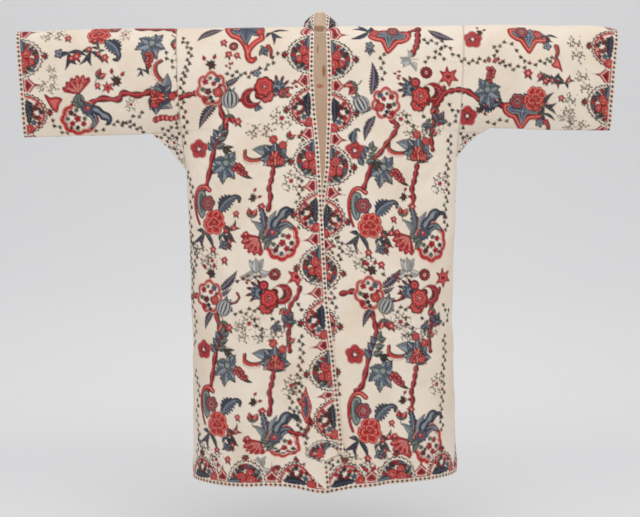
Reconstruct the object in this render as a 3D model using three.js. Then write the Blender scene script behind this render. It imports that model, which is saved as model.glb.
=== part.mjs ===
// A banyan: a loose, T-shaped gown of printed cotton, hollow, with its sleeves held straight out.
// Millimetres, +Z up. The front faces -Y and +X is the wearer's left.
// The origin is the middle of the shoulder fold, where the wearer's shoulders carry the gown.
//
// Every piece is a sheet: a grid of points on the outside of the cloth, a second grid one wall
// further in, and a rim that joins them. A grid's rows run down and its columns run to the right
// as the piece is seen from outside, so a row step crossed with a column step points outwards.

import * as THREE from 'three';

// ---------------------------------------------------------------- cloth and seams
const WALL = 2.0; // printed cotton with its lining
const LINING_WALL = 1.0;
const SEAM_GAP = 0.3; // clear space between two pieces that are sewn together
const LINING_GAP = 0.4; // between the back and the lining that lies on it
const LAP_GAP = 4.6; // from the outside of the top front to the outside of the front under it

// ---------------------------------------------------------------- driving sizes
const UNDERARM = -287; // height at which sleeve, body and gusset meet
const ARM_TOP = 385; // half the width of the body at the shoulder fold
const ARM_LOW = 372; // the same at the underarm
const ARM_HALF_DEPTH = 55; // front to middle, at the thickest level of a sleeve's armhole
const CUFF_HALF_DEPTH = 32; // the same at its cuff
const CUFF_HOLLOW = 6; // how far the cuff's edge is drawn in between its top and its foot
const GUSSET_HALF_DEPTH = 30; // how far the gusset holds the front from the middle
const SIDE_SEAM_AT_HEM = 75; // the side seams swing this far back by the hem
const HEM = -1232; // lowest level, at the middle of the front
const NECK_HALF = 50; // half the width of the neck along the shoulder fold
const BACK_NECK_DROP = 14; // how far the back is hollowed out at the neck
const COLLAR_SWELL = 6; // how far the neckband bows out between its two edges

// The two halves differ a little, as the gown hangs.
const HALVES = {
  right: { sign: -1, gussetOut: 459, gussetLow: -388, cuffTop: 821, cuffLow: 802 },
  left: { sign: 1, gussetOut: 435, gussetLow: -352, cuffTop: 805, cuffLow: 786 },
};

// Height of the shoulder fold, from the right cuff to the left one.
const SHOULDER_FOLD = [
  { across: -821, rise: -12 },
  { across: -700, rise: -8 },
  { across: -590, rise: -4 },
  { across: -325, rise: -3 },
  { across: -108, rise: 0 },
  { across: 54, rise: 2 },
  { across: 380, rise: 5 },
  { across: 488, rise: 7 },
  { across: 623, rise: 5 },
  { across: 759, rise: 3 },
  { across: 805, rise: -6 },
];

// Lower edge of each sleeve, from the armhole to the cuff.
const SLEEVE_BOTTOM = {
  right: [
    { across: 372, level: -287 },
    { across: 459, level: -287 },
    { across: 488, level: -290 },
    { across: 624, level: -293 },
    { across: 821, level: -298 },
  ],
  left: [
    { across: 372, level: -287 },
    { across: 435, level: -287 },
    { across: 462, level: -272 },
    { across: 500, level: -273 },
    { across: 623, level: -278 },
    { across: 805, level: -279 },
  ],
};

// Body below the underarm: how far front and back stand out, and the half widths.
const BODY = [
  { level: -287, chest: -66, spine: 62, right: 372, left: 372 },
  { level: -352, chest: -71, spine: 66, right: 366, left: 371 },
  { level: -470, chest: -76, spine: 71, right: 359, left: 369 },
  { level: -630, chest: -82, spine: 77, right: 355, left: 365 },
  { level: -740, chest: -86, spine: 83, right: 353, left: 363 },
  { level: -850, chest: -90, spine: 90, right: 350, left: 366 },
  { level: -1080, chest: -97, spine: 108, right: 351, left: 374 },
  { level: -1232, chest: -101, spine: 122, right: 353, left: 381 },
];

// Level of the hem, from the right side seam to the left one.
const HEM_LINE = {
  front: [
    { across: -360, level: -1228 },
    { across: -250, level: -1227 },
    { across: -140, level: -1222 },
    { across: -60, level: -1223 },
    { across: -15, level: -1230 },
    { across: 10, level: -1232 },
    { across: 80, level: -1225 },
    { across: 200, level: -1216 },
    { across: 300, level: -1213 },
    { across: 390, level: -1214 },
  ],
  back: [
    { across: -360, level: -1228 },
    { across: 0, level: -1226 },
    { across: 390, level: -1214 },
  ],
};

// Inner edge of each front, from the shoulder fold at the neck down to the hem.
const FRONT_EDGE = {
  right: [
    { level: 0, across: -50 },
    { level: -3, across: -42 },
    { level: -8, across: -33 },
    { level: -15, across: -23 },
    { level: -24, across: -15.5 },
    { level: -143, across: -17.5 },
    { level: -250, across: -10 },
    { level: -340, across: -1.3 },
    { level: -512, across: 8 },
    { level: -737, across: 20.6 },
    { level: -882, across: 37.7 },
    { level: -1099, across: 58.3 },
    { level: -1130, across: 67 },
    { level: -1149, across: 18 },
    { level: -1232, across: 27.3 },
  ],
  left: [
    { level: 0, across: 50 },
    { level: -3, across: 42 },
    { level: -8, across: 33 },
    { level: -15, across: 23 },
    { level: -24, across: 16 },
    { level: -143, across: 19.6 },
    { level: -250, across: 18.5 },
    { level: -388, across: 13 },
    { level: -528, across: -5 },
    { level: -661, across: -16 },
    { level: -900, across: -30 },
    { level: -1232, across: -42 },
  ],
};

// Soft folds. A positive depth is a ridge and a negative one a trough; each leans sideways by
// `lean` for every millimetre down and fades in below `from` and out towards `to`.
const FOLDS = {
  front: [
    { across: 262, lean: -0.14, width: 24, depth: -7, from: -270, to: -640 },
    { across: -306, lean: 0.05, width: 26, depth: -5, from: -380, to: -860 },
    { across: -205, lean: 0.03, width: 34, depth: 6, from: -640, to: -1500 },
    { across: -132, lean: -0.02, width: 30, depth: -7, from: -800, to: -1500 },
    { across: -74, lean: -0.03, width: 30, depth: -6, from: -760, to: -1500 },
    { across: 4, lean: 0.0, width: 78, depth: 22, from: -960, to: -1600 },
    { across: 118, lean: 0.04, width: 32, depth: 6, from: -720, to: -1500 },
    { across: 196, lean: -0.04, width: 28, depth: -7, from: -840, to: -1500 },
    { across: 292, lean: 0.03, width: 30, depth: 5, from: -900, to: -1500 },
  ],
  back: [
    { across: -290, lean: 0.06, width: 30, depth: -6, from: -320, to: -900 },
    { across: -190, lean: -0.03, width: 36, depth: 7, from: -600, to: -1500 },
    { across: -92, lean: 0.02, width: 30, depth: -8, from: -700, to: -1500 },
    { across: 10, lean: -0.02, width: 38, depth: 8, from: -480, to: -1500 },
    { across: 108, lean: 0.03, width: 28, depth: -7, from: -780, to: -1500 },
    { across: 214, lean: 0.02, width: 36, depth: 6, from: -560, to: -1500 },
    { across: 300, lean: -0.05, width: 26, depth: -6, from: -300, to: -820 },
  ],
};

// Creases that run down a sleeve, placed by their distance from the middle of the gown.
const SLEEVE_FOLDS = {
  right: [
    { across: 462, lean: 26, width: 20, front: -5, back: -4 },
    { across: 566, lean: -18, width: 26, front: 3, back: 4 },
    { across: 676, lean: 14, width: 22, front: -4, back: -3 },
  ],
  left: [
    { across: 470, lean: 34, width: 22, front: -5, back: -5 },
    { across: 590, lean: -12, width: 28, front: 4, back: 3 },
    { across: 700, lean: 20, width: 20, front: -3, back: -4 },
  ],
};

// Top edge of the neckband, from the middle of the back (0) round to a front end (1).
const COLLAR_TOP = [
  { around: 0.0, half: 0, depth: 24, rise: 52 },
  { around: 0.2, half: 7, depth: 21, rise: 50 },
  { around: 0.4, half: 13, depth: 11, rise: 44 },
  { around: 0.6, half: 17, depth: -4, rise: 32 },
  { around: 0.8, half: 16, depth: -21, rise: 12 },
  { around: 1.0, half: 15, depth: -31, rise: -8 },
];

// ---------------------------------------------------------------- how finely the cloth is cut
const FRONT_COLUMNS = 17;
const BACK_COLUMNS_EACH_SIDE = 12; // beside the neck
const NECK_COLUMNS = 8; // across the neck hollow
const NECK_DROPS = [0, 3, 8, 15, 24]; // rows that follow the neck edge
const YOKE_DROPS = [42, 70, 106, 146, 186, 224, 258];
const SKIRT_ROWS = 13;
const SLEEVE_ROWS_EACH_SIDE = 13;
const SLEEVE_COLUMNS_IN_GUSSET = 2;
const SLEEVE_COLUMNS_BEYOND = 10;
const GUSSET_CELLS = 8;
const COLLAR_ROWS = 5;

// ---------------------------------------------------------------- small helpers
const mix = (a, b, t) => a + (b - a) * t;
const clamp = (value, low, high) => Math.min(high, Math.max(low, value));

// Rises from 0 to 1 with level ends.
function ease(t) {
  const s = clamp(t, 0, 1);
  return s * s * (3 - 2 * s);
}

// Reads a table: a smooth curve through its rows, or straight lines between them.
function read(table, key, column, at, smooth = true) {
  const rising = table[table.length - 1][key] > table[0][key];
  const place = (row) => (rising ? row[key] : -row[key]);
  const x = rising ? at : -at;
  const last = table.length - 1;
  if (x <= place(table[0])) return table[0][column];
  if (x >= place(table[last])) return table[last][column];
  let i = 0;
  while (x > place(table[i + 1])) i += 1;
  const slope = (j) => {
    const step = place(table[j + 1]) - place(table[j]);
    return (table[j + 1][column] - table[j][column]) / step;
  };
  const span = place(table[i + 1]) - place(table[i]);
  const t = (x - place(table[i])) / span;
  if (!smooth) return mix(table[i][column], table[i + 1][column], t);
  const leaving = i === 0 ? slope(0) : (slope(i - 1) + slope(i)) / 2;
  const arriving = i === last - 1 ? slope(i) : (slope(i) + slope(i + 1)) / 2;
  const t2 = t * t;
  const t3 = t2 * t;
  return (
    (2 * t3 - 3 * t2 + 1) * table[i][column] +
    (t3 - 2 * t2 + t) * span * leaving +
    (3 * t2 - 2 * t3) * table[i + 1][column] +
    (t3 - t2) * span * arriving
  );
}

// ---------------------------------------------------------------- the shape of the gown
const shoulderFold = (across) => read(SHOULDER_FOLD, 'across', 'rise', across);

// Armhole seams lie in two planes that lean in a little towards the underarm.
const armhole = (level) => mix(ARM_TOP, ARM_LOW, level / UNDERARM);

// Half depth of a sleeve: a round fold at the top (w = 0), thickest above the middle, where it
// is `full`, and coming together at the lower edge (w = 1), where the gusset may hold it open.
function sleeveHalfDepth(w, full, open) {
  const TOP_POWER = 0.5;
  const LOW_POWER = 0.75;
  const PEAK = 0.431; // greatest value of w ** 0.5 * (1 - w) ** 0.75
  const round = (w ** TOP_POWER * Math.max(0, 1 - w) ** LOW_POWER) / PEAK;
  return full * round + open * w ** 3;
}

// Depth of the middle of the body above the underarm. It leaves the shoulder fold as a round
// turn and runs on, with no bend, into the line that the front or back has below the underarm.
function yokeDepth(column, w) {
  const ROUNDNESS = 5;
  const [first, second] = BODY;
  const growth = (second[column] - first[column]) / (second.level - first.level);
  const round = Math.sqrt(1 - (1 - w) ** ROUNDNESS);
  return first[column] * round + growth * UNDERARM * w * w * (w - 1);
}

// From 0 at the middle of a panel to 1 at its side. The higher `turn` is, the more the cloth
// rounds away only at the very side, as it does where it turns into a side seam.
function roundAway(u, turn) {
  const FULLNESS = 2.6;
  return 1 - Math.max(0, 1 - u ** FULLNESS) ** (1 / turn);
}

function sideSeamDepth(half, level) {
  const down = (half.gussetLow - level) / (half.gussetLow - HEM);
  return SIDE_SEAM_AT_HEM * Math.max(0, down);
}

// Half the width of the body on one side at a level.
function halfWidth(side, level) {
  return level > UNDERARM ? armhole(level) : read(BODY, 'level', side, level);
}

// Sum of the soft folds of a panel, fading out towards the side seams.
function foldRelief(panel, across, level, u) {
  const FADE_LENGTH = 190;
  const SIDE_CALM = 6; // the higher it is, the nearer to the side seams a fold still shows
  let relief = 0;
  for (const fold of FOLDS[panel]) {
    const centre = fold.across + fold.lean * (fold.from - level);
    const profile = Math.exp(-(((across - centre) / fold.width) ** 2));
    const fadeIn = ease((fold.from - level) / FADE_LENGTH);
    const fadeOut = ease((level - fold.to) / FADE_LENGTH);
    relief += fold.depth * profile * fadeIn * fadeOut;
  }
  return relief * (1 - u ** SIDE_CALM);
}

// Outside of the body. `face` is -1 for the front and 1 for the back.
function bodyPoint(face, across, level, w) {
  const side = across < 0 ? 'right' : 'left';
  const half = HALVES[side];
  const width = halfWidth(side, level);
  const u = clamp(Math.abs(across) / width, 0, 1);
  const column = face < 0 ? 'chest' : 'spine';
  let edge;
  let middle;
  if (w < 1) {
    edge = face * sleeveHalfDepth(w, ARM_HALF_DEPTH, GUSSET_HALF_DEPTH);
    middle = yokeDepth(column, w);
  } else {
    const opening = clamp((level - half.gussetLow) / (UNDERARM - half.gussetLow), 0, 1);
    edge = sideSeamDepth(half, level) + face * GUSSET_HALF_DEPTH * opening;
    middle = read(BODY, 'level', column, level);
  }
  const TURN_FROM = -200;
  const TURN_TO = -420;
  const turn = 1 + ease((level - TURN_FROM) / (TURN_TO - TURN_FROM));
  const depth = mix(middle, edge, roundAway(u, turn));
  const relief = foldRelief(face < 0 ? 'front' : 'back', across, level, u);
  return new THREE.Vector3(across, depth + face * relief, level);
}

// The rows of a body panel: `w` runs from the shoulder fold (0) to the underarm (1), and
// `skirt` from the underarm (0) to the hem (1).
function bodyRows() {
  const rows = [...NECK_DROPS, ...YOKE_DROPS].map((drop) => ({ w: -drop / UNDERARM, skirt: 0 }));
  for (let i = 0; i <= SKIRT_ROWS; i += 1) {
    rows.push({ w: 1, skirt: i / SKIRT_ROWS });
  }
  return rows;
}

function bodyLevel(row, across, hemLine) {
  if (row.w < 1) return mix(shoulderFold(across), UNDERARM, row.w);
  return mix(UNDERARM, read(hemLine, 'across', 'level', across), row.skirt);
}

// ---------------------------------------------------------------- from grids to solids
function gridNormals(grid) {
  const last = grid.length - 1;
  const end = grid[0].length - 1;
  return grid.map((line, r) => line.map((_, c) => {
    const down = grid[Math.min(r + 1, last)][c].clone().sub(grid[Math.max(r - 1, 0)][c]);
    const right = line[Math.min(c + 1, end)].clone().sub(line[Math.max(c - 1, 0)]);
    return down.cross(right).normalize();
  }));
}

// Moves a grid along its normals; `keep` then holds each point on its own side of the seams.
function moved(grid, distance, keep = (point) => point) {
  const normals = gridNormals(grid);
  return grid.map((line, r) => line.map((point, c) => (
    keep(point.clone().addScaledVector(normals[r][c], distance))
  )));
}

// One closed sheet between an outer and an inner grid.
function sheet(outer, inner) {
  const rows = outer.length;
  const columns = outer[0].length;
  const points = [...outer.flat(), ...inner.flat()];
  const out = (r, c) => r * columns + c;
  const inn = (r, c) => rows * columns + r * columns + c;
  const faces = [];
  const quad = (a, b, c, d) => faces.push(a, b, c, a, c, d);
  for (let r = 0; r < rows - 1; r += 1) {
    for (let c = 0; c < columns - 1; c += 1) {
      quad(out(r, c), out(r + 1, c), out(r + 1, c + 1), out(r, c + 1));
      quad(inn(r, c), inn(r, c + 1), inn(r + 1, c + 1), inn(r + 1, c));
    }
    quad(out(r, 0), inn(r, 0), inn(r + 1, 0), out(r + 1, 0));
    quad(out(r, columns - 1), out(r + 1, columns - 1), inn(r + 1, columns - 1), inn(r, columns - 1));
  }
  for (let c = 0; c < columns - 1; c += 1) {
    quad(out(0, c), out(0, c + 1), inn(0, c + 1), inn(0, c));
    quad(out(rows - 1, c), inn(rows - 1, c), inn(rows - 1, c + 1), out(rows - 1, c + 1));
  }
  const geometry = new THREE.BufferGeometry();
  geometry.setAttribute('position', new THREE.Float32BufferAttribute(
    points.flatMap((p) => [p.x, p.y, p.z]), 3));
  geometry.setIndex(faces);
  geometry.computeVertexNormals();
  return geometry;
}

const COTTON = { roughness: 0.82, metalness: 0 };
const COLOURS = {
  print: 0xdccfc0,
  border: 0xc9a79b,
  lining: 0xcdb99f,
};

const banyan = new THREE.Group();

function addPiece(name, outer, inner, colour) {
  const material = new THREE.MeshStandardMaterial({ color: colour, ...COTTON });
  const mesh = new THREE.Mesh(sheet(outer, inner), material);
  mesh.name = name;
  banyan.add(mesh);
}

// ---------------------------------------------------------------- fronts
const HALF_GAP = SEAM_GAP / 2;
const LAP_TOP = -210; // below this the left front steps back to lie under the right one
const LAP_FADES_AT = 165; // and it is back in line this far towards its side seam
const LAP_FADE = 90;

// Columns run from the inner edge to the side, closer together where the cloth rounds away.
function frontGrid(side, under) {
  const { sign } = HALVES[side];
  return bodyRows().map((row) => {
    const line = [];
    for (let i = 0; i <= FRONT_COLUMNS; i += 1) {
      const t = Math.sin((i / FRONT_COLUMNS) * (Math.PI / 2));
      const nominal = row.w < 1 ? UNDERARM * row.w : mix(UNDERARM, HEM, row.skirt);
      const edge = read(FRONT_EDGE[side], 'level', 'across', nominal, false);
      const outside = sign * (halfWidth(side, nominal) - HALF_GAP);
      const across = mix(edge, outside, t);
      const level = bodyLevel(row, across, HEM_LINE.front);
      const point = bodyPoint(-1, across, level, row.w);
      point.y += under * ease((LAP_FADES_AT - across) / LAP_FADE) * ease((LAP_TOP - level) / LAP_FADE);
      line.push(keepFront(point));
    }
    return sign < 0 ? line.reverse() : line;
  });
}

// A front stays before the shoulder fold and the side seams, and inside the armhole seams.
function keepFront(point) {
  const half = point.x < 0 ? HALVES.right : HALVES.left;
  point.y = Math.min(point.y, sideSeamDepth(half, point.z) - HALF_GAP);
  if (point.z > UNDERARM) {
    const limit = armhole(point.z) - HALF_GAP;
    point.x = clamp(point.x, -limit, limit);
  }
  return point;
}

function keepBack(point) {
  const half = point.x < 0 ? HALVES.right : HALVES.left;
  point.y = Math.max(point.y, sideSeamDepth(half, point.z) + HALF_GAP);
  if (point.z > UNDERARM) {
    const limit = armhole(point.z) - HALF_GAP;
    point.x = clamp(point.x, -limit, limit);
  }
  return point;
}

const frontRight = frontGrid('right', 0);
const frontLeft = frontGrid('left', LAP_GAP);
addPiece('front_right', frontRight, moved(frontRight, -WALL, keepFront), COLOURS.print);
addPiece('front_left', frontLeft, moved(frontLeft, -WALL, keepFront), COLOURS.print);

// ---------------------------------------------------------------- back
// Fractions of the width, from the wearer's left side to the right one.
function backColumns() {
  const columns = [];
  for (let i = 0; i < BACK_COLUMNS_EACH_SIDE; i += 1) {
    columns.push({ beside: Math.sin((1 - i / BACK_COLUMNS_EACH_SIDE) * (Math.PI / 2)), neck: 1 });
  }
  for (let i = 0; i <= NECK_COLUMNS; i += 1) {
    columns.push({ beside: 0, neck: 1 - (2 * i) / NECK_COLUMNS });
  }
  for (let i = 1; i <= BACK_COLUMNS_EACH_SIDE; i += 1) {
    columns.push({ beside: -Math.sin((i / BACK_COLUMNS_EACH_SIDE) * (Math.PI / 2)), neck: -1 });
  }
  return columns;
}

const backGrid = bodyRows().map((row) => backColumns().map(({ beside, neck }) => {
  const side = neck < 0 ? 'right' : 'left';
  const nominal = row.w < 1 ? UNDERARM * row.w : mix(UNDERARM, HEM, row.skirt);
  const width = halfWidth(side, nominal) - HALF_GAP;
  const across = NECK_HALF * neck + beside * (width - NECK_HALF);
  const hollow = (-BACK_NECK_DROP / UNDERARM) * (1 - Math.min(1, (across / NECK_HALF) ** 2));
  const w = row.w < 1 ? mix(hollow, 1, row.w) : 1;
  const level = bodyLevel({ w, skirt: row.skirt }, across, HEM_LINE.back);
  return keepBack(bodyPoint(1, across, level, w));
}));

// The back is two lengths of cloth, sewn together down the middle.
function addBackHalf(side) {
  const { sign } = HALVES[side];
  const middle = BACK_COLUMNS_EACH_SIDE + NECK_COLUMNS / 2;
  const keep = (point) => {
    const kept = keepBack(point);
    kept.x = sign * Math.max(sign * kept.x, HALF_GAP);
    return kept;
  };
  const grid = backGrid.map((line) => {
    const own = sign > 0 ? line.slice(0, middle + 1) : line.slice(middle);
    return own.map((point) => keep(point.clone()));
  });
  addPiece(`back_${side}`, grid, moved(grid, -WALL, keep), COLOURS.print);
}

addBackHalf('right');
addBackHalf('left');

// The lining follows the back's own points and stops one row above the hem.
const lined = backGrid.slice(0, -1);
addPiece(
  'lining_back',
  moved(lined, -WALL - LINING_GAP, keepBack),
  moved(lined, -WALL - LINING_GAP - LINING_WALL, keepBack),
  COLOURS.lining,
);

// ---------------------------------------------------------------- sleeves
function sleeveRelief(side, face, across, w) {
  let relief = 0;
  for (const fold of SLEEVE_FOLDS[side]) {
    const centre = fold.across + fold.lean * (w - 0.5);
    const depth = face < 0 ? fold.front : fold.back;
    relief += depth * Math.exp(-(((Math.abs(across) - centre) / fold.width) ** 2));
  }
  return relief * Math.sin(Math.PI * w);
}

// Rows run from the lower edge up the back, over the fold and down the front.
function sleeveGrid(side) {
  const half = HALVES[side];
  const gussetEnd = (half.gussetOut - ARM_LOW) / (half.cuffLow - ARM_LOW);
  const SETTLE = 60; // creases fade in over this length from the armhole
  const columns = [];
  for (let i = 0; i <= SLEEVE_COLUMNS_IN_GUSSET; i += 1) {
    columns.push((gussetEnd * i) / SLEEVE_COLUMNS_IN_GUSSET);
  }
  for (let i = 1; i <= SLEEVE_COLUMNS_BEYOND; i += 1) {
    columns.push(mix(gussetEnd, 1, i / SLEEVE_COLUMNS_BEYOND));
  }
  if (half.sign < 0) columns.reverse();
  const grid = [];
  for (let i = -SLEEVE_ROWS_EACH_SIDE; i <= SLEEVE_ROWS_EACH_SIDE; i += 1) {
    const face = i < 0 ? 1 : -1;
    const w = (1 - Math.cos((Math.PI * Math.abs(i)) / SLEEVE_ROWS_EACH_SIDE)) / 2;
    grid.push(columns.map((along) => {
      const start = mix(ARM_TOP, ARM_LOW, w) + HALF_GAP;
      const end = mix(half.cuffTop, half.cuffLow, w) - CUFF_HOLLOW * Math.sin(Math.PI * w);
      const across = mix(start, end, along);
      const closed = WALL + HALF_GAP;
      const open = mix(GUSSET_HALF_DEPTH, closed, Math.min(1, along / gussetEnd));
      const low = read(SLEEVE_BOTTOM[side], 'across', 'level', across, false);
      const level = mix(shoulderFold(half.sign * across), low, w);
      const relief = ease((across - start) / SETTLE) * sleeveRelief(side, face, across, w);
      const full = mix(ARM_HALF_DEPTH, CUFF_HALF_DEPTH, along);
      const depth = sleeveHalfDepth(w, full, open) + relief;
      return keepSleeve(new THREE.Vector3(half.sign * across, face * depth, level));
    }));
  }
  return grid;
}

// A sleeve stays outside its armhole seam.
function keepSleeve(point) {
  const limit = armhole(point.z) + HALF_GAP;
  point.x = Math.sign(point.x) * Math.max(Math.abs(point.x), limit);
  return point;
}

for (const side of ['right', 'left']) {
  const grid = sleeveGrid(side);
  const middle = SLEEVE_ROWS_EACH_SIDE;
  const inner = moved(grid, -WALL, keepSleeve).map((line, r) => line.map((point) => {
    // The two lower edges meet at the underside seam without crossing.
    if (r < middle) point.y = Math.max(point.y, HALF_GAP);
    if (r > middle) point.y = Math.min(point.y, -HALF_GAP);
    return point;
  }));
  addPiece(`sleeve_${side}`, grid, inner, COLOURS.print);
}

// ---------------------------------------------------------------- underarm gussets
// A square folded on its diagonal. Its front and back corners meet at the underarm, one end of
// the fold lies under the sleeve and the other at the top of the side seam.
function gussetGrid(side) {
  const half = HALVES[side];
  const corner = (across, depth, level) => new THREE.Vector3(half.sign * across, depth, level);
  const front = corner(ARM_LOW, -GUSSET_HALF_DEPTH, UNDERARM);
  const rear = corner(ARM_LOW, GUSSET_HALF_DEPTH, UNDERARM);
  const outer = corner(half.gussetOut, 0, UNDERARM);
  const low = corner(halfWidth(side, half.gussetLow), 0, half.gussetLow);
  const FOLD_SHARPNESS = 0.8;
  const grid = [];
  for (let r = 0; r <= GUSSET_CELLS; r += 1) {
    const b = r / GUSSET_CELLS;
    const line = [];
    for (let c = 0; c <= GUSSET_CELLS; c += 1) {
      const a = c / GUSSET_CELLS;
      const from = a + b <= 1 ? front : rear;
      const s = a + b <= 1 ? a : 1 - b;
      const t = a + b <= 1 ? b : 1 - a;
      const folded = from.clone()
        .addScaledVector(outer.clone().sub(from), s)
        .addScaledVector(low.clone().sub(from), t);
      const flat = front.clone().multiplyScalar((1 - a) * (1 - b))
        .addScaledVector(outer, a * (1 - b))
        .addScaledVector(low, (1 - a) * b)
        .addScaledVector(rear, a * b);
      line.push(keepGusset(flat.lerp(folded, FOLD_SHARPNESS)));
    }
    grid.push(half.sign < 0 ? line.reverse() : line);
  }
  return grid;
}

// A gusset stays below the sleeve and outside the body.
function keepGusset(point) {
  const side = point.x < 0 ? 'right' : 'left';
  point.z = Math.min(point.z, UNDERARM - SEAM_GAP);
  const limit = halfWidth(side, point.z) + HALF_GAP;
  point.x = HALVES[side].sign * Math.max(Math.abs(point.x), limit);
  return point;
}

for (const side of ['right', 'left']) {
  const grid = gussetGrid(side);
  addPiece(`gusset_${side}`, grid, moved(grid, -WALL, keepGusset), COLOURS.print);
}

// ---------------------------------------------------------------- neckband
// Its base follows the neck edges of the two fronts and the back, point by point, from the
// wearer's left front round the back to the right one.
function neckEdge() {
  const rows = NECK_DROPS.length;
  const leftEdge = frontLeft.slice(1, rows).map((line) => line[0]).reverse();
  const rightEdge = frontRight.slice(1, rows).map((line) => line[line.length - 1]);
  const from = BACK_COLUMNS_EACH_SIDE;
  const hollow = backGrid[0].slice(from, from + NECK_COLUMNS + 1);
  return [...leftEdge, ...hollow, ...rightEdge];
}

function collarGrid() {
  const base = neckEdge();
  const run = [0];
  for (let i = 1; i < base.length; i += 1) {
    run.push(run[i - 1] + base[i].distanceTo(base[i - 1]));
  }
  const half = run[run.length - 1] / 2;
  const top = base.map((_, i) => {
    const around = Math.abs(run[i] - half) / half;
    const sign = run[i] < half ? 1 : -1;
    return new THREE.Vector3(
      sign * read(COLLAR_TOP, 'around', 'half', around),
      read(COLLAR_TOP, 'around', 'depth', around),
      read(COLLAR_TOP, 'around', 'rise', around),
    );
  });
  const grid = [];
  for (let r = 0; r <= COLLAR_ROWS; r += 1) {
    const up = 1 - r / COLLAR_ROWS;
    grid.push(base.map((foot, i) => {
      const raised = foot.clone().addScaledVector(top[i].clone().sub(foot).normalize(), SEAM_GAP * 2);
      const point = raised.lerp(top[i], up);
      const outward = new THREE.Vector3(point.x, point.y, 0).normalize();
      const fullness = 1 - (Math.abs(run[i] - half) / half) ** 4;
      const bow = 4 * up * (1 - up); // 1 half way up, 0 at both edges
      return point.addScaledVector(outward, COLLAR_SWELL * fullness * bow);
    }));
  }
  return grid;
}

const collar = collarGrid();
addPiece('collar', collar, moved(collar, -WALL), COLOURS.border);

export default banyan;
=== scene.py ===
# %% [markdown]
# # A printed cotton banyan
# A banyan is a loose gown cut from straight lengths of cloth: two fronts, a back, two sleeves, an
# underarm gusset at each side and a narrow band at the neck. This one is painted and printed
# cotton. It hangs empty and open, with its sleeves held straight out.
#
# The frame is loaded first. Its solids give every piece's real place, and the pieces made
# below stand for those solids.

# %% Load the frame
import math

import bpy
import numpy as np
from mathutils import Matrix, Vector


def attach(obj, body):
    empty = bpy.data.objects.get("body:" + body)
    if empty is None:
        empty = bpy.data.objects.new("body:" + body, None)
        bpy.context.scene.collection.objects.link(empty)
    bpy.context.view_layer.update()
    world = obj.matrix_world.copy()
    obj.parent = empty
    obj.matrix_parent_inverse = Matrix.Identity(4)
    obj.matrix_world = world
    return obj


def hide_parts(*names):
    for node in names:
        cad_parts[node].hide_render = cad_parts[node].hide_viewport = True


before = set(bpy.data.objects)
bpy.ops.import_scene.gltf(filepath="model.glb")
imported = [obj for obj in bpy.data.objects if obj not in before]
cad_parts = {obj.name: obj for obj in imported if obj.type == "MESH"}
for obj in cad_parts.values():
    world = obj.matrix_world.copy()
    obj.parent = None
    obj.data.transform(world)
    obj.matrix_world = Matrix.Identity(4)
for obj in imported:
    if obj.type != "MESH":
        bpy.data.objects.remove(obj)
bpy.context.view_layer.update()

# %% [markdown]
# ## Measures and helpers
# Cloth is measured in millimetres, as a tailor would, and turned into metres when a mesh is made.
# X runs to the wearer's left, -Y to the front and +Z up. The origin is the middle of the
# shoulder fold. Small tables hold the cut: each has named columns, and `read` draws a smooth
# curve through its rows, so that an edge needs only the few points that shape it.

# %% Helpers for curves and tables
MM = 0.001


def mix(a, b, t):
    """The point a share t of the way from a to b."""
    return a + (b - a) * t


def ease(t):
    """Rises from 0 to 1 with level ends: three t squared less two t cubed."""
    t = np.clip(t, 0, 1)
    return t * t * (3 - 2 * t)


def number(word):
    """The number that a word spells, or the word itself."""
    try:
        return float(word)
    except ValueError:
        return word


def table(columns, text):
    """Rows under named columns. The text has commas between rows and spaces between values."""
    return [dict(zip(columns.split(), map(number, row.split()))) for row in text.split(",")]


def route(text):
    """The points of a path written as "x y, x y"."""
    return [(row["x"], row["y"]) for row in table("x y", text)]


def read(rows, key, column, at, smooth=True):
    """A cubic through the rows whose slope at each row is the mean of its two secants, or lines."""
    rows = sorted(rows, key=lambda row: row[key])
    x = np.array([row[key] for row in rows], float)
    y = np.array([row[column] for row in rows], float)
    at = np.clip(at, x[0], x[-1])
    i = np.clip(np.searchsorted(x, at, side="right") - 1, 0, len(x) - 2)
    span = x[i + 1] - x[i]
    t = (at - x[i]) / span
    if not smooth:
        return mix(y[i], y[i + 1], t)
    secant = np.diff(y) / np.diff(x)
    slope = np.concatenate([secant[:1], (secant[:-1] + secant[1:]) / 2, secant[-1:]])
    t2, t3 = t * t, t * t * t
    rise = (2 * t3 - 3 * t2 + 1) * y[i] + (3 * t2 - 2 * t3) * y[i + 1]
    return rise + (t3 - 2 * t2 + t) * span * slope[i] + (t3 - t2) * span * slope[i + 1]


# %% [markdown]
# ## The cut
# The sizes below are the solids' own, but for the lap and the lining's gap, which leave a little
# more room for fine creases. The two halves differ a little, as a hanging
# gown's do. Seams keep a hair of clear space, so that each panel is its own sheet.

# %% Driving sizes
WALL = 2.0  # cotton and its lining
LINING_WALL = 1.0
LINING_GAP = 1.4  # clear of the back's fine creases
SEAM_GAP = 0.3
HALF_GAP = SEAM_GAP / 2
LAP_GAP = 4.9  # how far the left front lies behind the right one
UNDERARM = -287
ARM_TOP = 385
ARM_LOW = 372
ARM_HALF_DEPTH = 55
CUFF_HALF_DEPTH = 32
CUFF_HOLLOW = 6
GUSSET_HALF_DEPTH = 30
SIDE_SEAM_AT_HEM = 75
HEM = -1232
NECK_HALF = 50
BACK_NECK_DROP = 14
COLLAR_SWELL = 6
HALVES = {
    "right": dict(sign=-1, gusset_out=459, gusset_low=-388, cuff_top=821, cuff_low=802),
    "left": dict(sign=1, gusset_out=435, gusset_low=-352, cuff_top=805, cuff_low=786),
}

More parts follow.
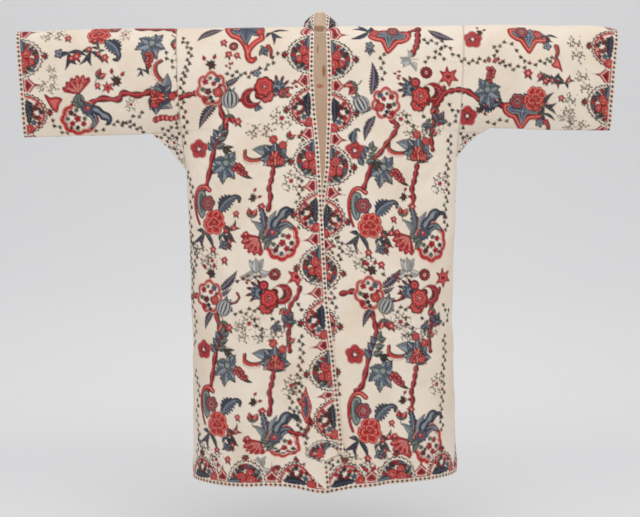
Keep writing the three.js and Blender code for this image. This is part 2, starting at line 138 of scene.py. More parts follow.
# %% Edges and sections
SHOULDER_FOLD = table("across rise", """
    -821 -12, -700 -8, -590 -4, -325 -3, -108 0, 54 2, 380 5, 488 7, 623 5, 759 3,
    805 -6""")
SLEEVE_BOTTOM = {
    "right": table("across level", "372 -287, 459 -287, 488 -290, 624 -293, 821 -298"),
    "left": table("across level", "372 -287, 435 -287, 462 -272, 500 -273, 623 -278, 805 -279"),
}
BODY = table("level chest spine right left", """
    -287 -66 62 372 372, -352 -71 66 366 371, -470 -76 71 359 369, -630 -82 77 355 365,
    -740 -86 83 353 363, -850 -90 90 350 366, -1080 -97 108 351 374,
    -1232 -101 122 353 381""")
HEM_LINE = {
    "front": table("across level", """
        -360 -1228, -250 -1227, -140 -1222, -60 -1223, -15 -1230, 10 -1232, 80 -1225,
        200 -1216, 300 -1213, 390 -1214"""),
    "back": table("across level", "-360 -1228, 0 -1226, 390 -1214"),
}
FRONT_EDGE = {
    "right": table("level across", """
        0 -50, -3 -42, -8 -33, -15 -23, -24 -15.5, -143 -17.5, -250 -10, -340 -1.3,
        -512 8, -737 20.6, -882 37.7, -1099 58.3, -1130 67, -1149 18, -1232 27.3"""),
    "left": table("level across", """
        0 50, -3 42, -8 33, -15 23, -24 16, -143 19.6, -250 18.5, -388 13, -528 -5,
        -661 -16, -900 -30, -1232 -42"""),
}
COLLAR_TOP = table("around half depth rise", """
    0 0 24 52, 0.2 7 21 50, 0.4 13 11 44, 0.6 17 -4 32, 0.8 16 -21 12, 1 15 -31 -8""")

# %% [markdown]
# ## Folds and creases
# The large folds are the solids' own. Finer creases are listed one by one: each is a short soft
# trough (or a ridge, where its depth is positive) that starts and ends gently. No two share a
# length, depth or spacing. A very low, seeded crumple keeps the cloth between them from
# looking like sheet metal, and the cloth dips and puckers a little along its seams.

# %% Large folds, as in the solids
FOLDS = {
    "front": table("across lean width depth start end", """
        262 -0.14 24 -7 -270 -640, -306 0.05 26 -5 -380 -860, -205 0.03 34 6 -640 -1500,
        -132 -0.02 30 -7 -800 -1500, -74 -0.03 30 -6 -760 -1500, 4 0 78 22 -960 -1600,
        118 0.04 32 6 -720 -1500, 196 -0.04 28 -7 -840 -1500, 292 0.03 30 5 -900 -1500"""),
    "back": table("across lean width depth start end", """
        -290 0.06 30 -6 -320 -900, -190 -0.03 36 7 -600 -1500,
        -92 0.02 30 -8 -700 -1500, 10 -0.02 38 8 -480 -1500, 108 0.03 28 -7 -780 -1500,
        214 0.02 36 6 -560 -1500, 300 -0.05 26 -6 -300 -820"""),
}
SLEEVE_FOLDS = {
    "right": table("across lean width front back", """
        462 26 20 -5 -4, 566 -18 26 3 4, 676 14 22 -4 -3"""),
    "left": table("across lean width front back", """
        470 34 22 -5 -5, 590 -12 28 4 3, 700 20 20 -3 -4"""),
}

# %% Small creases: middle, length, direction in degrees from straight down, width and depth
CREASES = {
    "front": table("across level length turn width depth", """
        -318 -352 92 48 7 -1.6, -296 -410 120 34 9 -1.8, -256 -318 70 62 8 1.2,
        -342 -505 140 6 8 -1.4, -170 -232 110 14 10 -1.2, -96 -420 180 4 11 1.3,
        -232 -690 210 -4 10 -1.6, -160 -560 130 8 9 1, -60 -650 160 -6 9 -1.2,
        -285 -1010 190 3 10 -1.5, -110 -1120 140 -5 8 1.4, -24 -1060 150 6 9 -1.4,
        318 -342 86 -50 7 -1.6, 300 -398 130 -30 9 -1.9, 246 -300 80 -58 8 1.3,
        345 -520 150 -5 8 -1.3, 150 -205 120 -12 10 -1.2, 88 -480 170 5 10 1.2,
        228 -720 200 4 10 -1.5, 140 -640 150 -7 9 1.1, 62 -840 190 4 9 -1.3,
        326 -980 170 -3 9 -1.4, 160 -1100 150 6 9 1.3, 262 -1130 120 -4 8 -1.2"""),
    "back": table("across level length turn width depth", """
        -312 -356 100 46 8 -1.7, -262 -330 84 60 8 1.3, -340 -520 150 7 9 -1.4,
        -140 -250 130 10 10 -1.2, -60 -520 210 -4 11 1.4, -236 -760 200 5 10 -1.5,
        -20 -880 180 3 9 -1.5, -150 -1080 160 -6 9 1.4, 314 -350 90 -48 8 -1.6,
        250 -312 76 -60 8 1.2, 338 -540 160 -6 9 -1.4, 128 -236 120 -9 10 -1.1,
        70 -640 200 5 10 1.3, 250 -800 190 -5 10 -1.5, 160 -1060 170 4 9 1.5,
        52 -1110 140 -4 8 -1.3"""),
    "sleeve": table("across level length turn width depth", """
        408 -210 120 10 9 -2, 430 -120 90 -14 8 -1.4, 498 -196 130 16 10 1.6,
        534 -92 84 -22 8 -1.2, 600 -216 110 -10 9 -1.6, 640 -70 80 12 8 1.2,
        706 -170 140 8 10 -1.4, 752 -236 80 -14 8 1.2"""),
}


def fold_relief(panel, across, level, u):
    """Each fold is a bell across the cloth, eased in at its start and out at its end. All of
    them fade towards the side seams, where u is 1."""
    fade_length = 190
    relief = np.zeros_like(across)
    for fold in FOLDS[panel]:
        centre = fold["across"] + fold["lean"] * (fold["start"] - level)
        bell = np.exp(-(((across - centre) / fold["width"]) ** 2))
        inwards = ease((fold["start"] - level) / fade_length)
        relief += fold["depth"] * bell * inwards * ease((level - fold["end"]) / fade_length)
    return relief * (1 - u**6)


def crease_relief(panel, across, level, shift=0.0):
    """Each crease is a bell across its own line, times a flatter bell along it."""
    relief = np.zeros_like(across)
    for crease in CREASES[panel]:
        turn = math.radians(crease["turn"])
        x = across - crease["across"] - shift
        y = crease["level"] - level
        along = (x * math.sin(turn) + y * math.cos(turn)) / (crease["length"] / 2)
        beside = (x * math.cos(turn) - y * math.sin(turn)) / crease["width"]
        relief += crease["depth"] * np.exp(-(beside**2)) * np.exp(-(along**4))
    return relief


def crumple(a, b, seed, height=0.5):
    """Twelve sine waves of uneven length, direction and start, added on the flat cloth."""
    rng = np.random.default_rng(seed)
    relief = np.zeros_like(a)
    for length in np.geomspace(170, 24, 12):
        turn, start = rng.uniform(0, 2 * np.pi, 2)
        wave = (a * math.cos(turn) + b * math.sin(turn)) * 2 * np.pi / length
        relief += height * (length / 170) ** 0.8 * np.sin(wave + start)
    return relief


def seam_relief(distance, along, seed):
    """A seam pulls the cloth in a little, and puckers it: a dip, and a fading ripple beside it."""
    pitch = 17
    ripple = np.sin(along * 2 * np.pi / pitch + 2.2 * np.sin(along / 41 + seed))
    dip = -0.9 * np.exp(-((distance / 3.2) ** 2))
    return dip + 0.34 * ripple * np.exp(-((distance / 11) ** 2))


# %% [markdown]
# ## The body's surface
# One function gives the outside of the body, front or back, from a distance across and a
# share down. Above the underarm the cloth has the sleeve's own section, a fold at the
# shoulder that swells to the chest. Below, it hangs from that section and turns away into
# the side seams. The panels' grids are laid on this surface.

# %% The outside of the body
def armhole(level):
    """Armhole seams lie in planes that lean in a little towards the underarm."""
    return mix(ARM_TOP, ARM_LOW, level / UNDERARM)


def sleeve_half_depth(w, full, opening):
    """w to the power 0.5 times (1 - w) to the power 0.75, over its peak; then the opening."""
    rounded = w**0.5 * np.maximum(0, 1 - w) ** 0.75 / 0.431
    return full * rounded + opening * w**3


def yoke_depth(column, w):
    """The root of 1 - (1 - w) to the fifth makes the round turn at the fold. A second term
    brings the line into the slope that the panel has below the underarm."""
    first, second = BODY[0], BODY[1]
    growth = (second[column] - first[column]) / (second["level"] - first["level"])
    rounded = np.sqrt(np.maximum(0, 1 - np.maximum(0, 1 - w) ** 5))
    return first[column] * rounded + growth * UNDERARM * w * w * (w - 1)


def by_side(across, name):
    """A size of the half that each point lies on."""
    return np.where(across < 0, HALVES["right"][name], HALVES["left"][name])


def half_width(across, level):
    below = np.where(
        across < 0, read(BODY, "level", "right", level), read(BODY, "level", "left", level)
    )
    return np.where(level > UNDERARM, armhole(level), below)


def side_seam_depth(across, level):
    low = by_side(across, "gusset_low")
    return SIDE_SEAM_AT_HEM * np.maximum(0, (low - level) / (low - HEM))


def shoulder_fold(across):
    return read(SHOULDER_FOLD, "across", "rise", across)


def body_surface(face, across, level, w, skirt):
    """face is -1 for the front and 1 for the back. w runs from the fold (0) to the underarm (1)."""
    u = np.clip(np.abs(across) / half_width(across, level), 0, 1)
    column = "chest" if face < 0 else "spine"
    yoke_edge = face * sleeve_half_depth(w, ARM_HALF_DEPTH, GUSSET_HALF_DEPTH)
    low = by_side(across, "gusset_low")
    opening = np.clip((level - low) / (UNDERARM - low), 0, 1)
    skirt_edge = side_seam_depth(across, level) + face * GUSSET_HALF_DEPTH * opening
    skirt_middle = read(BODY, "level", column, level)
    in_yoke = (w < 1) & (skirt <= 0)
    edge = np.where(in_yoke, yoke_edge, skirt_edge)
    middle = np.where(in_yoke, yoke_depth(column, w), skirt_middle)
    turn = 1 + ease((level + 200) / -220)
    away = 1 - np.maximum(0, 1 - u**2.6) ** (1 / turn)
    panel = "front" if face < 0 else "back"
    relief = fold_relief(panel, across, level, u)
    calm = (1 - u**6) * ease(w * 5)
    relief = relief + calm * crease_relief(panel, across, level)
    return np.stack([across, mix(middle, edge, away) + face * relief, level], axis=-1)


# %% [markdown]
# ## Even grids
# A print stays sharp only where the points lie evenly on the cloth. So each row is first
# walked finely, its length is measured, and its points are then set at equal steps. The same
# is done once for the spacing of the rows. `p` and `q` are the flat cloth's own millimetres,
# across from the middle and down from the fold, and the print is laid out on them.

# %% Spacing
def lengths(points):
    """Running length along the last axis but one of an array of points."""
    steps = np.linalg.norm(np.diff(points, axis=-2), axis=-1)
    return np.concatenate([np.zeros_like(steps[..., :1]), np.cumsum(steps, axis=-1)], axis=-1)


def even_shares(surface, rows, count):
    """Shares 0 to 1 that cut each row of surface(shares) into count equal lengths."""
    fine = np.linspace(0, 1, count * 3 + 1)
    run = lengths(surface(np.broadcast_to(fine, (rows, fine.size))))
    wanted = np.linspace(0, 1, count + 1)
    return np.stack([np.interp(wanted * line[-1], line, fine) for line in run])


def body_rows(count, face, across):
    """w and skirt of each row, at equal steps down one line of the body."""
    fine = np.linspace(0, 1, 4001)
    share = -UNDERARM / (-UNDERARM - HEM + UNDERARM)
    w = np.minimum(1, fine**2 / share)
    skirt = np.clip((fine**2 - share) / (1 - share), 0, 1)
    level = np.where(w < 1, UNDERARM * w, mix(UNDERARM, HEM, skirt))
    run = lengths(body_surface(face, np.full_like(fine, across), level, w, skirt))
    wanted = np.linspace(0, run[-1], count + 1)
    at = np.interp(wanted, run, fine) ** 2
    return np.minimum(1, at / share), np.clip((at - share) / (1 - share), 0, 1)


def nominal_level(w, skirt):
    return np.where(w < 1, UNDERARM * w, mix(UNDERARM, HEM, skirt))


def body_level(w, skirt, across, hem_line):
    high = mix(shoulder_fold(across), UNDERARM, w)
    low = mix(UNDERARM, read(hem_line, "across", "level", across), skirt)
    return np.where(w < 1, high, low)


def grid_normals(grid):
    """A step down crossed with a step to the right points out of the cloth."""
    down = np.gradient(grid, axis=0)
    right = np.gradient(grid, axis=1)
    normal = np.cross(down, right)
    return normal / np.maximum(np.linalg.norm(normal, axis=-1, keepdims=True), 1e-12)


def keep_panel(points, face):
    """A body panel stays on its side of the fold and side seams, and inside the armholes."""
    points = points.copy()
    seam = side_seam_depth(points[..., 0], points[..., 2])
    if face < 0:
        points[..., 1] = np.minimum(points[..., 1], seam - HALF_GAP)
    else:
        points[..., 1] = np.maximum(points[..., 1], seam + HALF_GAP)
    limit = armhole(points[..., 2]) - HALF_GAP
    held = np.clip(points[..., 0], -limit, limit)
    points[..., 0] = np.where(points[..., 2] > UNDERARM, held, points[..., 0])
    return points


def keep_half(points, sign):
    """A half of the back also stays on its own side of the seam down the middle."""
    points = keep_panel(points, 1)
    points[..., 0] = sign * np.maximum(0, sign * points[..., 0])
    return points


def moved(grid, distance, keep):
    return keep(grid + grid_normals(grid) * np.asarray(distance)[..., None])


print("helpers ready; armhole at the underarm:", round(float(armhole(UNDERARM)), 1), "mm")

# %% [markdown]
# ## Fronts
# The right front lies on the left one. Their inner edges run down from the neck, and the
# columns of each grid run from that edge to the side seam. A front that lies beneath is the
# same surface, moved back by the lap and eased back into line before its side seam.

# %% The fronts' grids
FRONT_ROWS, FRONT_COLUMNS = 512, 172
LAP_TOP, LAP_FADES_AT, LAP_FADE = -210, 165, 90


def finish_panel(grid, face, p, q, seed):
    """Adds the crumple, and the dip and puckers along the armhole and side seams."""
    x, z = grid[..., 0], grid[..., 2]
    edge = half_width(x, z)
    beside = np.maximum(0, edge - np.abs(x))
    beside = np.where(z > UNDERARM, beside, np.abs(grid[..., 1] - side_seam_depth(x, z)))
    calm = ease(q / 30)
    relief = calm * (crumple(p, q, seed) + seam_relief(beside, q, seed))
    return moved(grid, relief, lambda points: keep_panel(points, face))


def front_grid(side, under):
    sign = HALVES[side]["sign"]
    w, skirt = body_rows(FRONT_ROWS, -1, sign * 190)
    w, skirt = w[:, None], skirt[:, None]
    nominal = nominal_level(w, skirt)
    edge = read(FRONT_EDGE[side], "level", "across", nominal, smooth=False)
    outside = sign * (half_width(np.full_like(nominal, sign), nominal) - HALF_GAP)

    def surface(shares):
        across = mix(edge, outside, shares)
        level = body_level(w, skirt, across, HEM_LINE["front"])
        points = body_surface(-1, across, level, np.broadcast_to(w, across.shape), skirt)
        beneath = ease((LAP_FADES_AT - across) / LAP_FADE) * ease((LAP_TOP - level) / LAP_FADE)
        points[..., 1] += under * beneath
        return keep_panel(points, -1)

    shares = even_shares(surface, FRONT_ROWS + 1, FRONT_COLUMNS)
    grid = surface(shares)
    p = edge + sign * lengths(grid)
    q = lengths(grid.swapaxes(0, 1)).swapaxes(0, 1)
    if sign < 0:
        grid, p, q = grid[:, ::-1], p[:, ::-1], q[:, ::-1]
    grid = finish_panel(grid, -1, p, q, 11 if sign < 0 else 12)
    return dict(grid=grid, p=p, q=q)


front_right = front_grid("right", 0)
front_left = front_grid("left", LAP_GAP)
for cut in (front_right, front_left):
    size = [float(np.ptp(cut[key]).round()) for key in ("p", "q")]
    print("front", cut["grid"].shape, "width and length", size)

# %% [markdown]
# ## Back
# The back hangs like the fronts but runs from side seam to side seam, with a shallow hollow
# at the neck. It is made in two halves that share their middle points, which keeps each
# mesh light while the print stays fine.

# %% The back's grid
BACK_ROWS, BACK_COLUMNS = 452, 152


def back_grid(side, rows=BACK_ROWS, columns=BACK_COLUMNS):
    sign = HALVES[side]["sign"]
    w_row, skirt = body_rows(rows, 1, sign * 190)
    w_row, skirt = w_row[:, None], skirt[:, None]
    outside = sign * (half_width(np.full_like(w_row, sign), nominal_level(w_row, skirt)) - HALF_GAP)

    def surface(shares):
        across = outside * shares
        hollow = -BACK_NECK_DROP / UNDERARM * (1 - np.minimum(1, (across / NECK_HALF) ** 2))
        w = np.where(w_row < 1, mix(hollow, 1, w_row), 1)
        level = body_level(w, skirt, across, HEM_LINE["back"])
        return keep_panel(body_surface(1, across, level, w, skirt), 1)

    shares = even_shares(surface, rows + 1, columns)
    grid = surface(shares)
    p = sign * lengths(grid)
    q = lengths(grid.swapaxes(0, 1)).swapaxes(0, 1)
    if sign > 0:
        grid, p, q = grid[:, ::-1], p[:, ::-1], q[:, ::-1]
    grid = finish_panel(grid, 1, p, q, 21)
    grid[:, 0 if sign < 0 else -1, 0] = 0
    return dict(grid=grid, p=p, q=q)


back_right = back_grid("right")
back_left = back_grid("left")
middle = (back_left["grid"][:, -1] + back_right["grid"][:, 0]) / 2
back_left["grid"][:, -1] = back_right["grid"][:, 0] = middle
print("back halves", back_left["grid"].shape, "width of one", np.ptp(back_left["p"]).round())

# %% [markdown]
# ## Sleeves
# A sleeve is one straight length folded over the arm. Its rows start at the lower edge of
# the back, climb over the fold and end at the lower edge of the front, and its columns run
# from the armhole to the cuff. The gusset holds it open at the underarm.

# %% The sleeves' grids
SLEEVE_COLUMNS, SLEEVE_ROWS = 180, 252


def keep_sleeve(points):
    """A sleeve stays outside its armhole seam, and its two lower edges never cross."""
    points = points.copy()
    limit = armhole(points[..., 2]) + HALF_GAP
    points[..., 0] = np.sign(points[..., 0]) * np.maximum(np.abs(points[..., 0]), limit)
    middle = points.shape[0] // 2
    points[:middle, :, 1] = np.maximum(points[:middle, :, 1], HALF_GAP)
    points[middle + 1:, :, 1] = np.minimum(points[middle + 1:, :, 1], -HALF_GAP)
    return points


def sleeve_surface(side, face, w, along):
    half = HALVES[side]
    gusset_end = (half["gusset_out"] - ARM_LOW) / (half["cuff_low"] - ARM_LOW)
    start = mix(ARM_TOP, ARM_LOW, w) + HALF_GAP
    cuff = mix(half["cuff_top"], half["cuff_low"], w) - CUFF_HOLLOW * np.sin(np.pi * w)
    across = mix(start, cuff, along)
    closed = WALL + HALF_GAP
    opening = mix(GUSSET_HALF_DEPTH, closed, np.minimum(1, along / gusset_end))
    low = read(SLEEVE_BOTTOM[side], "across", "level", across, smooth=False)
    level = mix(shoulder_fold(half["sign"] * across), low, w)
    relief = np.zeros_like(across)
    for fold in SLEEVE_FOLDS[side]:
        centre = fold["across"] + fold["lean"] * (w - 0.5)
        depth = np.where(face < 0, fold["front"], fold["back"])
        relief += depth * np.exp(-(((across - centre) / fold["width"]) ** 2))
    fine = crease_relief("sleeve", across, level, 14 if side == "right" else -16)
    relief = (relief + fine) * np.sin(np.pi * w) * ease((across - start) / 60)
    full = mix(ARM_HALF_DEPTH, CUFF_HALF_DEPTH, along)
    depth = sleeve_half_depth(w, full, opening) + relief
    return np.stack([half["sign"] * across, face * depth, level], axis=-1)


def sleeve_grid(side):
    sign = HALVES[side]["sign"]
    along = np.linspace(0, 1, SLEEVE_COLUMNS + 1)[None, :]
    fine = np.linspace(-1, 1, 4001)
    face = np.where(fine < 0, 1, -1)
    fine_w = (1 - np.cos(np.pi * np.abs(fine))) / 2
    run = lengths(sleeve_surface(side, face, fine_w, np.full_like(fine, 0.6)))
    at = np.interp(np.linspace(0, run[-1], SLEEVE_ROWS + 1), run, fine)[:, None]
    at[SLEEVE_ROWS // 2] = 0
    w = np.broadcast_to((1 - np.cos(np.pi * np.abs(at))) / 2, (at.size, along.size))
    face = np.where(at < 0, 1, -1)
    grid = sleeve_surface(side, face, w, np.broadcast_to(along, w.shape))
    p = sign * np.abs(grid[..., 0])
    run = lengths(grid.swapaxes(0, 1)).swapaxes(0, 1)
    q = run - run[SLEEVE_ROWS // 2]
    to_cuff = np.max(np.abs(p), axis=1, keepdims=True) - np.abs(p)
    to_arm = np.abs(p) - mix(ARM_TOP, ARM_LOW, w)
    if sign < 0:
        grid, p, q, to_cuff, to_arm = (a[:, ::-1] for a in (grid, p, q, to_cuff, to_arm))
    relief = crumple(p, q, 31 if sign < 0 else 32) + seam_relief(to_arm, q, 3)
    calm = ease(np.minimum(w[:, :1] * 12, (1 - w[:, :1]) * 12))
    grid = moved(grid, relief * calm, keep_sleeve)
    return dict(grid=grid, p=p, q=q, to_cuff=to_cuff)


sleeve_right = sleeve_grid("right")
sleeve_left = sleeve_grid("left")
print("sleeves", sleeve_left["grid"].shape, "round the arm", np.ptp(sleeve_left["q"]).round())

# %% [markdown]
# ## Gussets
# A gusset is a small square folded on its diagonal and set in where sleeve, front and back
# meet. It lets the arm lift without tearing the cloth. The square is bent between its flat
# shape and its fully folded one.

# %% The gussets' grids
GUSSET_CELLS = 48


def keep_gusset(points, sign):
    points = points.copy()
    points[..., 2] = np.minimum(points[..., 2], UNDERARM - SEAM_GAP)
    limit = half_width(np.full_like(points[..., 0], sign), points[..., 2]) + HALF_GAP
    points[..., 0] = sign * np.maximum(np.abs(points[..., 0]), limit)
    return points


def gusset_grid(side):
    """a and b run along two sides of the square. Where a + b passes 1, the rear corner is used."""
    half = HALVES[side]
    sign = half["sign"]
    front = np.array([sign * ARM_LOW, -GUSSET_HALF_DEPTH, UNDERARM], float)
    rear = front * [1, -1, 1]
    outer = np.array([sign * half["gusset_out"], 0, UNDERARM], float)
    low_width = float(half_width(np.array(float(sign)), np.array(float(half["gusset_low"]))))
    low = np.array([sign * low_width, 0, half["gusset_low"]], float)
    step = np.linspace(0, 1, GUSSET_CELLS + 1)
    b, a = (share[..., None] for share in np.meshgrid(step, step, indexing="ij"))
    near = a + b <= 1
    corner = np.where(near, front, rear)
    s, t = np.where(near, a, 1 - b), np.where(near, b, 1 - a)
    folded = corner + (outer - corner) * s + (low - corner) * t
    flat = front * (1 - a) * (1 - b) + outer * a * (1 - b) + low * (1 - a) * b + rear * a * b
    grid = mix(flat, folded, 0.8)
    side_length = np.linalg.norm(outer - front)
    p, q = a[..., 0] * side_length, b[..., 0] * np.linalg.norm(low - front)
    if sign < 0:
        grid, p, q = grid[:, ::-1], p[:, ::-1], q[:, ::-1]
    return dict(grid=keep_gusset(grid, sign), p=p, q=q)


gusset_right = gusset_grid("right")
gusset_left = gusset_grid("left")
print("gussets", gusset_left["grid"].shape)

# %% [markdown]
# ## Neckband
# The band stands on the neck edge. Its foot follows the edges of the two fronts and the back,
# and its upper edge is drawn in to a narrow loop. Between the two it bows out slightly.

# %% The neckband's grid
COLLAR_COLUMNS, COLLAR_ROWS = 168, 32


def collar_grid():
    def edge_below(cut, column):
        line = cut["grid"][:, column]
        drop = shoulder_fold(line[:, 0]) - line[:, 2]
        return line[(drop > 2.9) & (drop < 24.5)]

    back_neck = np.concatenate([back_left["grid"][0], back_right["grid"][0][1:]])
    back_neck = back_neck[np.abs(back_neck[:, 0]) <= NECK_HALF]
    base = np.concatenate([
        edge_below(front_left, 0)[::-1], back_neck, edge_below(front_right, -1)
    ])
    run = lengths(base)
    even = np.linspace(0, run[-1], COLLAR_COLUMNS + 1)
    base = np.stack([np.interp(even, run, base[:, i]) for i in range(3)], axis=-1)
    half = even[-1] / 2
    around = np.abs(even - half) / half
    sign = np.where(even < half, 1, -1)
    top = np.stack([
        sign * read(COLLAR_TOP, "around", "half", around),
        read(COLLAR_TOP, "around", "depth", around),
        read(COLLAR_TOP, "around", "rise", around),
    ], axis=-1)
    lift = top - base
    foot = base + lift / np.linalg.norm(lift, axis=-1, keepdims=True) * SEAM_GAP * 2
    up = np.linspace(1, 0, COLLAR_ROWS + 1)[:, None, None]
    points = mix(foot, top, up)
    outward = points * [1, 1, 0]
    outward = outward / np.maximum(np.linalg.norm(outward, axis=-1, keepdims=True), 1e-9)
    fullness = (1 - around**4)[None, :, None]
    points = points + outward * COLLAR_SWELL * fullness * 4 * up * (1 - up)
    p = np.broadcast_to(even - half, points.shape[:2])
    q = lengths(points.swapaxes(0, 1)).swapaxes(0, 1)
    return dict(grid=points, p=p, q=q)


collar = collar_grid()
print("neckband", collar["grid"].shape, "round", np.ptp(collar["p"]).round())

# %% [markdown]
# ## From grids to cloth
# Each piece is a closed thin sheet. Its outside keeps every point, because the print lives
# there. The inside is seen less, so it takes every fourth point only, moved in by the cloth's
# thickness, and the rim joins four fine edges to one coarse edge with a single face.

# %% Making a sheet
INNER_STEP = 4  # the inside takes every fourth point


def sheet_faces(rows, columns, step):
    """Corner numbers and sizes of all faces: fine quads, coarse quads, and the four rims."""
    fine = np.arange((rows + 1) * (columns + 1)).reshape(rows + 1, columns + 1)
    few = (rows // step + 1, columns // step + 1)
    coarse = fine.size + np.arange(few[0] * few[1]).reshape(few)
    outside = [fine[:-1, :-1], fine[1:, :-1], fine[1:, 1:], fine[:-1, 1:]]
    inside = [coarse[:-1, :-1], coarse[:-1, 1:], coarse[1:, 1:], coarse[1:, :-1]]

    def rim(edge, inner, forward):
        """One face for each coarse edge. It follows the fine edge one way and comes back."""
        runs = edge[np.arange(0, edge.size - 1, step)[:, None] + np.arange(step + 1)]
        if forward:
            return np.concatenate([runs, inner[1:, None], inner[:-1, None]], axis=1)
        return np.concatenate([runs[:, ::-1], inner[:-1, None], inner[1:, None]], axis=1)

    rims = np.concatenate([
        rim(fine[0], coarse[0], True), rim(fine[-1], coarse[-1], False),
        rim(fine[:, 0], coarse[:, 0], False), rim(fine[:, -1], coarse[:, -1], True),
    ])
    quads = [np.stack([c.ravel() for c in side], axis=1) for side in (outside, inside)]
    corners = np.concatenate([quads[0].ravel(), quads[1].ravel(), rims.ravel()])
    sizes = np.concatenate([
        np.full(len(quads[0]) + len(quads[1]), 4), np.full(len(rims), rims.shape[1])
    ])
    return corners, sizes, len(quads[0]), len(quads[1])


def make_sheet(name, cut, wall, keep, step=INNER_STEP):
    """A closed mesh from an outer grid, its inner copy and the rim between them."""
    grid = cut["grid"]
    rows, columns = grid.shape[0] - 1, grid.shape[1] - 1
    inner = moved(grid, np.full(grid.shape[:2], -wall), keep)[::step, ::step]
    points = np.concatenate([grid.reshape(-1, 3), inner.reshape(-1, 3)]) * MM
    flat = np.stack([cut["p"], cut["q"]], axis=-1)
    flat = np.concatenate([flat.reshape(-1, 2), flat[::step, ::step].reshape(-1, 2)]) * MM
    corners, sizes, outside, inside = sheet_faces(rows, columns, step)
    mesh = bpy.data.meshes.new(name)
    mesh.vertices.add(len(points))
    mesh.vertices.foreach_set("co", points.astype(np.float32).ravel())
    mesh.loops.add(corners.size)
    mesh.loops.foreach_set("vertex_index", corners.astype(np.int32))
    mesh.polygons.add(sizes.size)
    starts = np.concatenate([[0], np.cumsum(sizes)[:-1]])
    mesh.polygons.foreach_set("loop_start", starts.astype(np.int32))
    mesh.update(calc_edges=True)
    faces = np.arange(sizes.size)
    smooth = faces < outside + inside
    mesh.polygons.foreach_set("material_index", (smooth & (faces >= outside)).astype(np.int32))
    mesh.polygons.foreach_set("use_smooth", smooth)
    layer = mesh.uv_layers.new(name="flat_cloth")
    layer.uv.foreach_set("vector", flat[corners].astype(np.float32).ravel())
    mesh.update()
    piece = bpy.data.objects.new(name, mesh)
    bpy.context.scene.collection.objects.link(piece)
    print(name, "sheet:", int((sizes - 2).sum()), "triangles")
    return piece


def keeper(name):
    """The function that holds a piece's inner points on their own side of its seams."""
    sign = -1 if "right" in name else 1
    return {
        "front": lambda points: keep_panel(points, -1),
        "back": lambda points: keep_half(points, sign),
        "sleeve": keep_sleeve,
        "neckband": lambda points: points,
        "gusset": lambda points: keep_gusset(points, sign),
    }[name.split("_")[0]]


cuts = {
    "front_right_cloth": front_right, "front_left_cloth": front_left,
    "back_right_half": back_right, "back_left_half": back_left,
    "sleeve_right_cloth": sleeve_right, "sleeve_left_cloth": sleeve_left,
    "neckband_cloth": collar,
    "gusset_right_cloth": gusset_right, "gusset_left_cloth": gusset_left,
}
pieces = {name: make_sheet(name, cut, WALL, keeper(name)) for name, cut in cuts.items()}

# %% [markdown]
# ## Lining
# Only the back's lining shows, through the open neck. It follows the back's own points, a
# hair further in, and ends a little above the hem.

# %% The lining's sheet
LINING_ROWS, LINING_COLUMNS = 84, 30


def keep_back(points):
    return keep_panel(points, 1)


def lining_grid():
    halves = [back_grid(side, LINING_ROWS + 4, LINING_COLUMNS) for side in ("left", "right")]
    join = {key: np.concatenate([halves[0][key][:, :-1], halves[1][key]], axis=1)
            for key in ("grid", "p", "q")}
    middle = LINING_COLUMNS
    join["grid"][:, middle] = (halves[0]["grid"][:, -1] + halves[1]["grid"][:, 0]) / 2
    behind = moved(join["grid"], np.full(join["grid"].shape[:2], -WALL - LINING_GAP), keep_back)
    rows = slice(0, LINING_ROWS + 1)
    return dict(grid=behind[rows], p=join["p"][rows], q=join["q"][rows])


lining = lining_grid()
LINING = "lining_back_cloth"
pieces[LINING] = make_sheet(LINING, lining, LINING_WALL, keep_back, step=1)

# %% [markdown]
# ## The print
# Cloths like this were drawn with a reed pen, dyed and block-printed, one colour after another.
# The same is done here: every point on the outside of the cloth holds a colour, and each
# motif lays its colours over what is there. A shape is given by its depth, the distance
# inside its outline in millimetres, which is negative outside. A colour covers a point by
# half a step plus the depth over the width of a soft edge, held between 0 and 1, so outlines
# stay smooth between the points of the mesh.
#
# The motifs are the common stock of such cloths: roses, peonies, carnations, lotus, serrated
# leaves, berries and garlands. Each is drawn from a few round, leaf-shaped or free outlines.

# %% Colours and the soft edge
SOFT_EDGE = 2.1


def linear(red, green, blue):
    """Display values from 0 to 255 made linear: v to the power 2.2, close enough for dyes."""
    return (np.array([red, green, blue]) / 255) ** 2.2


DYES = {
    row["dye"]: linear(row["red"], row["green"], row["blue"])
    for row in table("dye red green blue", """
        ground 231 217 201, crimson 158 26 38, wine 92 14 26, scarlet 186 44 36, rose 206 98 94,
        blush 226 164 148, slate 74 84 100, pale 134 142 148, deep 34 38 56, line 26 14 16,
        sage 84 92 80, moss 54 48 36, mauve 82 54 72, bark 72 50 38, pearl 190 188 182""")
}


class Spot:
    """The cloth under one motif: its points in the motif's own axes, and their colours."""

    def __init__(self, x, y, colour, edge):
        self.x, self.y, self.colour, self.edge = x, y, colour, edge

    def lay(self, dye, depth, strength=1.0):
        """Covers by 0.5 + depth / edge, held between 0 and 1, times a strength."""
        cover = (np.clip(0.5 + depth / self.edge, 0, 1) * strength)[:, None]
        self.colour += (DYES[dye] - self.colour) * cover


# %% Outlines
def disc(s, x, y, r):
    return r - np.hypot(s.x - x, s.y - y)


def band(depth, at, width):
    """A line that follows an outline, a set depth inside it."""
    return width / 2 - np.abs(depth - at)


def petalled(s, x, y, r, petals, notch=0.2, turn=0.0, pointed=False, stretch=1.0):
    """r times 1 - notch + notch |cos(petals angle / 2)|, or with points where the cos is low."""
    dx, dy = s.x - x, (s.y - y) / stretch
    angle = np.arctan2(dy, dx) - math.radians(turn)
    wave = np.abs(np.cos(petals * angle / 2))
    if pointed:
        wave = 1 - np.abs(np.sin(petals * angle / 2)) ** 0.8
    return r * (1 - notch + notch * wave) - np.hypot(dx, dy)


